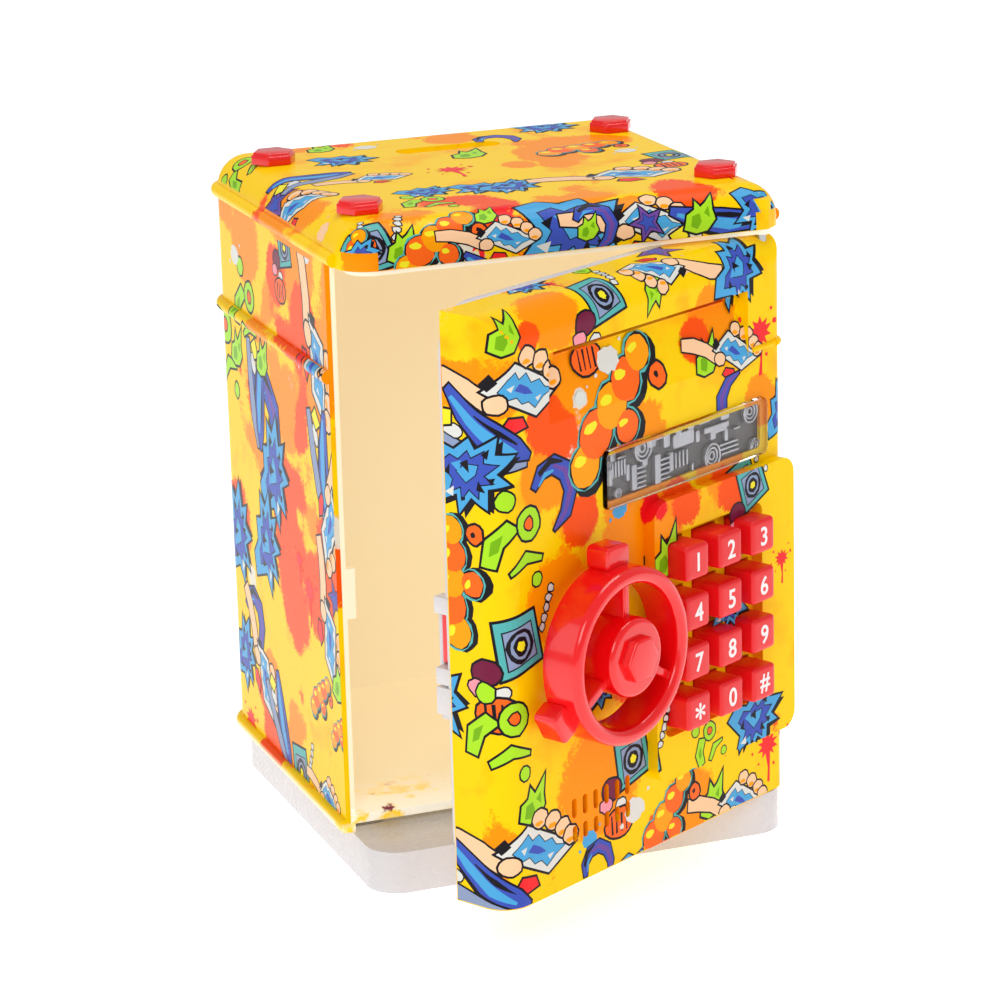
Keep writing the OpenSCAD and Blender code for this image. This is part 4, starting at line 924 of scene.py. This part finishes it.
_, (_, plate_rear, _) = shut_box("relief_plate")
PLATE = plate_rear - 1.2
BLOCK_RISE, RING_RISE = 1.15, 1.25
relief = bmesh.new()
slab(relief, round_box(WINDOW_X - 36.2, WINDOW_Z - 9, WINDOW_X + 36.2, WINDOW_Z + 9, 1), PLATE, plate_rear, 0.2)
RELIEF_BLOCKS = [
    (-13.7, 6.2, 3.3, 3.9), (-10.4, 6.6, 3.3, 1.8), (-7.4, 5.5, 2.7, 5.3), (0.0, 3.6, 9.3, 3.9),
    (-2.7, 7.0, 2.2, 2.1), (3.3, 6.4, 2.7, 1.8), (11.5, 7.5, 10.4, 1.4), (9.3, 6.5, 4.9, 1.4),
    (18.6, 6.2, 3.8, 2.5), (14.8, 3.5, 11.0, 1.6), (13.2, 1.9, 2.2, 2.8), (16.5, 2.4, 6.0, 1.0),
    (19.2, 0.4, 1.5, 3.2), (20.3, -2.0, 8.2, 0.6), (20.6, -3.3, 8.2, 0.6), (20.8, -4.6, 7.7, 0.6),
    (-21.7, -2.3, 2.2, 7.1), (-17.0, 0.9, 2.2, 2.1), (-11.5, -2.4, 2.5, 8.5), (-5.5, -1.6, 1.6, 5.3),
    (-34.6, 6.6, 2.7, 3.2), (-30.7, 6.1, 2.2, 4.3), (-24.4, -0.3, 1.3, 4.6), (-31.8, -0.1, 1.3, 4.6),
    (-26.9, 4.5, 3.8, 0.6), (3.8, -5.1, 0.9, 2.1), (-2.7, 7.7, 1.1, 0.7), (6.3, 2.9, 1.6, 3.2),
    (-25.2, 7.9, 4.9, 0.6), (24.1, 1.4, 2.7, 0.6), (25.2, -8.0, 6.6, 0.5), (-9.3, -8.0, 16.4, 0.5),
    (6.0, -8.0, 16.4, 0.5), (-18.6, -0.1, 3.8, 0.6), (-18.6, -1.5, 3.8, 0.6), (-18.6, -2.8, 3.8, 0.6),
    (-18.6, -4.2, 3.8, 0.6), (-18.6, -5.5, 3.8, 0.6), (-8.2, -0.1, 4.4, 0.6), (-8.2, -1.5, 4.4, 0.6),
    (-8.2, -2.8, 4.4, 0.6), (-8.2, -4.2, 4.4, 0.6), (-8.2, -5.5, 4.4, 0.6), (-8.2, -6.9, 4.4, 0.6),
]
for x, z, wide, tall in RELIEF_BLOCKS:
    corner = min(wide, tall) * 0.2
    block = round_box(WINDOW_X + x - wide / 2, WINDOW_Z + z - tall / 2, WINDOW_X + x + wide / 2,
                      WINDOW_Z + z + tall / 2, corner, 2)
    slab(relief, block, PLATE - BLOCK_RISE, PLATE + 0.05, min(0.18, corner), 1)


def ring(x, z, outer, inner, rise):
    y = PLATE - rise
    section = [(outer, PLATE), (outer, y + 0.2), (outer - 0.2, y), (inner + 0.2, y), (inner, y + 0.2),
               (inner, PLATE)]
    turned(relief, WINDOW_X + x, WINDOW_Z + z, section, 32, 1)


for x, z, size in ((-17.6, 4.9, 3.8), (12.9, -4.1, 3.7), (30.4, 4.6, 3.3), (32.4, -5.6, 2.3), (-28.8, -5.0, 1.4),
                   (-33.7, 3.2, 1.9)):
    for k in range(3):
        ring(x, z, size - k * size * 0.3, size - k * size * 0.3 - size * 0.19, RING_RISE - k * 0.2)
# Painted shade: the metallised plate's ground between the raised blocks and rings is dark grey for the shade in
# the gaps.
GAP_SHADE_GREY = moulded("relief_ground_painted_shade", ink_colour(112, 106, 102), 0.35, 0.5, 0.0008, 0.00003, 0.3, Metallic=0.3)
relief_piece = built("relief_moulding", relief, GAP_SHADE_GREY, SILVER)


def row_tree(name):
    """A Geometry Nodes tree that repeats a made part along a line."""
    tree = bpy.data.node_groups.new(name, "GeometryNodeTree")
    for title, kind in (("Part", "Object"), ("Count", "Int"), ("Start", "Vector"), ("Step", "Vector"),
                        ("Material", "Material")):
        tree.interface.new_socket(title, in_out="INPUT", socket_type="NodeSocket" + kind)
    tree.interface.new_socket("Row", in_out="OUTPUT", socket_type="NodeSocketGeometry")
    start, end = tree.nodes.new("NodeGroupInput"), tree.nodes.new("NodeGroupOutput")
    line, part = tree.nodes.new("GeometryNodeMeshLine"), tree.nodes.new("GeometryNodeObjectInfo")
    spread = tree.nodes.new("GeometryNodeInstanceOnPoints")
    real = tree.nodes.new("GeometryNodeRealizeInstances")
    paint = tree.nodes.new("GeometryNodeSetMaterial")
    links = (("Part", part.inputs["Object"]), ("Count", line.inputs["Count"]),
             ("Start", line.inputs["Start Location"]), ("Step", line.inputs["Offset"]),
             ("Material", paint.inputs["Material"]))
    for socket, target in links:
        tree.links.new(start.outputs[socket], target)
    tree.links.new(line.outputs["Mesh"], spread.inputs["Points"])
    tree.links.new(part.outputs["Geometry"], spread.inputs["Instance"])
    tree.links.new(spread.outputs[0], real.inputs[0])
    tree.links.new(real.outputs[0], paint.inputs["Geometry"])
    tree.links.new(paint.outputs[0], end.inputs["Row"])
    return tree


ROW = row_tree("row_of_parts")


def row(name, part, count, start, step, material):
    """A plain mesh of count copies of part, from start in steps, in millimetres with the door shut."""
    made = bpy.data.objects.new(name, bpy.data.meshes.new(name))
    bpy.context.scene.collection.objects.link(made)
    nodes = made.modifiers.new("Row", "NODES")
    nodes.node_group = ROW
    values = {"Part": part, "Count": count, "Start": [c * MM for c in start], "Step": [c * MM for c in step],
              "Material": material}
    for item in ROW.interface.items_tree:
        if item.in_out == "INPUT":
            nodes[item.identifier] = values[item.name]
    view = bpy.context.evaluated_depsgraph_get()
    mesh = bpy.data.meshes.new_from_object(made.evaluated_get(view))
    made.modifiers.clear()
    made.data = mesh
    return made


bar = bmesh.new()
slab(bar, round_box(-0.35, -2.2, 0.35, 2.2, 0.2, 2), -1.2, 0.05, 0.15)
bar_piece = built("relief_bar", bar, SILVER)
BAR_ROWS = ((-31.0, 1.7, 5, 1.3), (-3.6, -1.7, 4, 1.65), (-3.0, 6.3, 3, 0.9), (12.1, 8.2, 4, 1.2))
bars = [row("relief_bars_%d" % i, bar_piece, count, (WINDOW_X + x, PLATE, WINDOW_Z + z), (step, 0, 0), SILVER)
        for i, (x, z, count, step) in enumerate(BAR_ROWS)]
bpy.data.objects.remove(bar_piece)


def join(first, *others):
    """One object of several, all at the origin."""
    mesh = bmesh.new()
    materials = list(first.data.materials)
    for piece in (first, *others):
        index = []
        for material in piece.data.materials:
            if material not in materials:
                materials.append(material)
            index.append(materials.index(material))
        start = len(mesh.faces)
        mesh.from_mesh(piece.data)
        mesh.faces.ensure_lookup_table()
        for face in mesh.faces[start:]:
            face.material_index = index[face.material_index] if index else 0
    first.data.materials.clear()
    for material in materials:
        first.data.materials.append(material)
    mesh.to_mesh(first.data)
    mesh.free()
    for piece in others:
        bpy.data.objects.remove(piece)
    return first


on_door(join(relief_piece, *bars), "door", "relief_plate", slot="silver_plastic")
for lamp, node, tint in (("red_lamp", "red_led", (235, 40, 40)), ("green_lamp", "green_led", (60, 190, 80))):
    dress(moulded(lamp, ink_colour(*tint), 0.05, 0.12, 0.003, 0.00002, 0.1, Transmission_Weight=0.5), node)

# ---------- Keypad ----------
# Twelve red keys with rounded edges and slightly crowned faces, each marked in white.
# Rubber domes push them out from a green board with three chips on its back.

KEY_RED = moulded("key_red", ink_colour(236, 14, 24), 0.3, 0.44, 0.001, 0.00003, 0.06)
MARK_WHITE = moulded("mark_white", ink_colour(246, 240, 240), 0.4, 0.5, 0.001, 0.00001, 0.02)
MARKS = {**{digit: digit for digit in "123456789"}, "star": "*", "0": "0", "hash": "#"}
CAP_X, CAP_Z, CAP_EDGE, CROWN = 5.15, 4.9, 1.05, 0.1
for key, mark in MARKS.items():
    node = "key_" + key
    (x0, face_y, z0), (x1, back_y, z1) = shut_box(node)
    cx, cz = (x0 + x1) / 2, (z0 + z1) / 2
    mesh = bmesh.new()
    cap = round_box(cx - CAP_X, cz - CAP_Z, cx + CAP_X, cz + CAP_Z, 1.3, 4)
    slab(mesh, cap, face_y + 0.12, back_y - 0.9, CAP_EDGE, 0, CROWN)
    slab(mesh, round_box(x0, z0, x1, z1, 1, 3), back_y - 1, back_y, 0.15)
    cap_piece = built("cap_" + key, mesh, KEY_RED)
    curve = bpy.data.curves.new("mark_" + key, "FONT")
    curve.body, curve.size, curve.extrude = mark, (10.4 if mark == "*" else 7.4) * MM, 0.06 * MM
    curve.align_x, curve.align_y, curve.offset = "CENTER", "CENTER", 0.12 * MM
    text = bpy.data.objects.new("mark_" + key, curve)
    bpy.context.scene.collection.objects.link(text)
    view = bpy.context.evaluated_depsgraph_get()
    letters = bpy.data.meshes.new_from_object(text.evaluated_get(view))
    bpy.data.objects.remove(text)
    lows = [min(v.co[i] for v in letters.vertices) for i in (0, 1)]
    highs = [max(v.co[i] for v in letters.vertices) for i in (0, 1)]
    shift = Matrix.Translation(((-lows[0] - highs[0]) / 2, (-lows[1] - highs[1]) / 2, 0))
    stand = Matrix.Translation(Vector((cx, face_y + 0.02, cz)) * MM) @ Matrix.Rotation(math.pi / 2, 4, "X")
    letters.transform(stand @ shift)
    letters.materials.clear()
    letters.materials.append(MARK_WHITE)
    mark_piece = bpy.data.objects.new("mark_piece_" + key, letters)
    bpy.context.scene.collection.objects.link(mark_piece)
    on_door(join(cap_piece, mark_piece), "button_" + key, node, slot="red_key_plastic")

dress(moulded("board_green", ink_colour(20, 92, 50), 0.3, 0.5, 0.0007, 0.00003, 0.25), "circuit_board")
dress(moulded("chip_black", ink_colour(26, 26, 28), 0.45, 0.6, 0.0005, 0.00002, 0.1), "board_chips")
RUBBER = moulded("grey_rubber", ink_colour(70, 70, 74), 0.55, 0.7, 0.0008, 0.00003, 0.15)
dress(RUBBER, "key_domes", "feed_tyres", "pinch_roller")

# ---------- Speaker and cells ----------
# A small pressed-steel speaker with a black paper cone, fixed behind slots in the door.
# The cells lie in a tub behind it, on plated spring contacts.

dress(STEEL, "speaker_basket", "speaker_magnet", "battery_contacts", "feed_motor", "lock_plunger")
dress(moulded("cone_paper", ink_colour(30, 28, 28), 0.7, 0.85, 0.0006, 0.00006, 0.3), "speaker_cone")
dress(moulded("cell_wrap", ink_colour(26, 104, 66), 0.25, 0.4, 0.002, 0.00002, 0.2), "battery_cells")

# ---------- Note feeder and lock ----------
# Moulded gears, a brass pinion and rubber tyres on a shaft pull a note in through the slot.
# A steel solenoid holds a plunger in the glossy red latch bolt, which slides in rails on the cover.

dress(WHITE, "feed_roller", "handle_spindle")
BRASS = moulded("brass", ink_colour(214, 172, 84), 0.2, 0.36, 0.001, 0.00002, 0.15, Metallic=1.0)
BLUED_STEEL = moulded("solenoid_steel", ink_colour(120, 130, 146), 0.3, 0.5, 0.001, 0.00003, 0.2, Metallic=1.0)
dress(BRASS, "motor_pinion")
dress(BLUED_STEEL, "lock_solenoid")
finish_in(soften("latch_bolt", 0.45, "latch_bolt_moulding"), RED_GLOSS)

# ---------- Handle ----------
# A glossy red hand wheel moulded in one: a round rim, a hub with a hexagon boss, three spokes and three lugs.
# It is screwed to a spindle that turns the latch's pinion behind the door.

_, (_, wheel_back, _) = shut_box("wheel_handle")
RIM_FRONT = DOOR_FACE - 15.6
RIM_BACK = RIM_FRONT + 12
RIM_R, RIM_HOLE, HUB_R, HUB_BORE, BOSS_R = 24.5, 19.9, 11, 3.1, 6.5
wheel = bmesh.new()


def rounded_ring(outer, inner, front, back, r, r_back=0.5):
    """The section of a ring with rounded front edges, as a closed profile."""
    steps = [math.pi / 2 * i / 5 for i in range(6)]
    profile = [(outer - r_back, back), (outer, back - r_back)]
    profile += [(outer - r + r * math.cos(a), front + r - r * math.sin(a)) for a in steps]
    profile += [(inner + r - r * math.sin(a), front + r - r * math.cos(a)) for a in steps]
    return profile + [(inner, back - r_back), (inner + r_back, back)]


turned(wheel, WHEEL_X, WHEEL_Z, rounded_ring(RIM_R, RIM_HOLE, RIM_FRONT, RIM_BACK, 2.1), 96)
turned(wheel, WHEEL_X, WHEEL_Z, rounded_ring(HUB_R, HUB_BORE, RIM_FRONT - 1, wheel_back, 1.6), 64)
hexagon = [(WHEEL_X + BOSS_R * math.cos(math.pi * i / 3), WHEEL_Z + BOSS_R * math.sin(math.pi * i / 3))
           for i in range(6)]
slab(wheel, hexagon, RIM_FRONT - 3.4, RIM_FRONT - 0.6, 0.7)
to_axle = Matrix.Translation(Vector((WHEEL_X, 0, WHEEL_Z)) * MM)
for degrees in (90, 210, 330):
    turn = to_axle @ Matrix.Rotation(-math.radians(degrees), 4, "Y")
    arm = bmesh.new()
    slab(arm, [(10, -1.3), (21, -1.3), (21, 1.3), (10, 1.3)], RIM_FRONT + 2.4, RIM_BACK - 1.6, 0.6)
    slab(arm, round_box(23.6, -4.7, 30.2, 4.7, 1.6, 4), RIM_BACK - 7.2, RIM_BACK, 0.8)
    arm.transform(turn)
    spoke = bpy.data.meshes.new("spoke")
    arm.to_mesh(spoke)
    arm.free()
    wheel.from_mesh(spoke)
    bpy.data.meshes.remove(spoke)
on_door(built("hand_wheel", wheel, RED_GLOSS), "handle", "wheel_handle", slot="red_plastic")

# ---------- Studio ----------
# A white paper floor that lights the object a little from below, and three soft lights.
# The camera has a long lens and stands a little left of the front and above the lid.

floor_mesh = bpy.data.meshes.new("floor")
floor_mesh.from_pydata([(-3, -3, 0), (3, -3, 0), (3, 3, 0), (-3, 3, 0)], [], [(0, 1, 2, 3)])
floor = bpy.data.objects.new("floor", floor_mesh)
bpy.context.scene.collection.objects.link(floor)
paper = Nodes("studio_paper")
for socket, grey in (("Base Color", 0.97), ("Emission Color", 0.98)):
    paper.link(paper.mix(paper.noise(0.4), (1, 1, 1, 1), (grey, grey, grey, 1)), paper.shader.inputs[socket])
paper.shader.inputs["Roughness"].default_value = 0.8
paper.shader.inputs["Emission Strength"].default_value = 0.6
floor_mesh.materials.append(paper.material)

world = bpy.data.worlds.new("studio")
world.use_nodes = True
world.node_tree.nodes["Background"].inputs["Color"].default_value = (1, 1, 1, 1)
world.node_tree.nodes["Background"].inputs["Strength"].default_value = 0.5
bpy.context.scene.world = world


def softbox(name, place, target, size, power):
    lamp = bpy.data.lights.new(name, "AREA")
    lamp.shape, lamp.size, lamp.size_y, lamp.energy = "RECTANGLE", size[0], size[1], power
    light = bpy.data.objects.new(name, lamp)
    light.location = place
    light.rotation_euler = (Vector(target) - Vector(place)).to_track_quat("-Z", "Y").to_euler()
    bpy.context.scene.collection.objects.link(light)


softbox("front_box", (-0.55, -1.0, 0.75), (0, 0, 0.09), (0.5, 0.5), 3.4)
softbox("left_box", (-1.0, -0.1, 0.5), (0, 0, 0.09), (0.4, 0.6), 0.8)
softbox("top_box", (0.2, 0.1, 1.1), (0, 0, 0.1), (0.6, 0.6), 4.5)

TARGET, DISTANCE, LENS = Vector((-0.001275, -0.003229, 0.092195)), 1.107156, 136.24
AZIMUTH, ELEVATION, ROLL = math.radians(-20.46), math.radians(16.154), math.radians(-1.548)
back = Vector((math.sin(AZIMUTH) * math.cos(ELEVATION), -math.cos(AZIMUTH) * math.cos(ELEVATION),
               math.sin(ELEVATION)))
level = Vector((math.cos(AZIMUTH), math.sin(AZIMUTH), 0))
rise = back.cross(level)
right = level * math.cos(ROLL) + rise * math.sin(ROLL)
up = rise * math.cos(ROLL) - level * math.sin(ROLL)
lens = bpy.data.cameras.new("camera")
lens.lens, lens.sensor_width, lens.clip_start, lens.clip_end = LENS, 36.0, 0.01, 20.0
camera = bpy.data.objects.new("camera", lens)
facing = Matrix((right, up, back)).transposed().to_4x4()
camera.matrix_world = Matrix.Translation(TARGET + back * DISTANCE) @ facing
bpy.context.scene.collection.objects.link(camera)
bpy.context.scene.camera = camera
bpy.context.scene.view_settings.view_transform = "Standard"
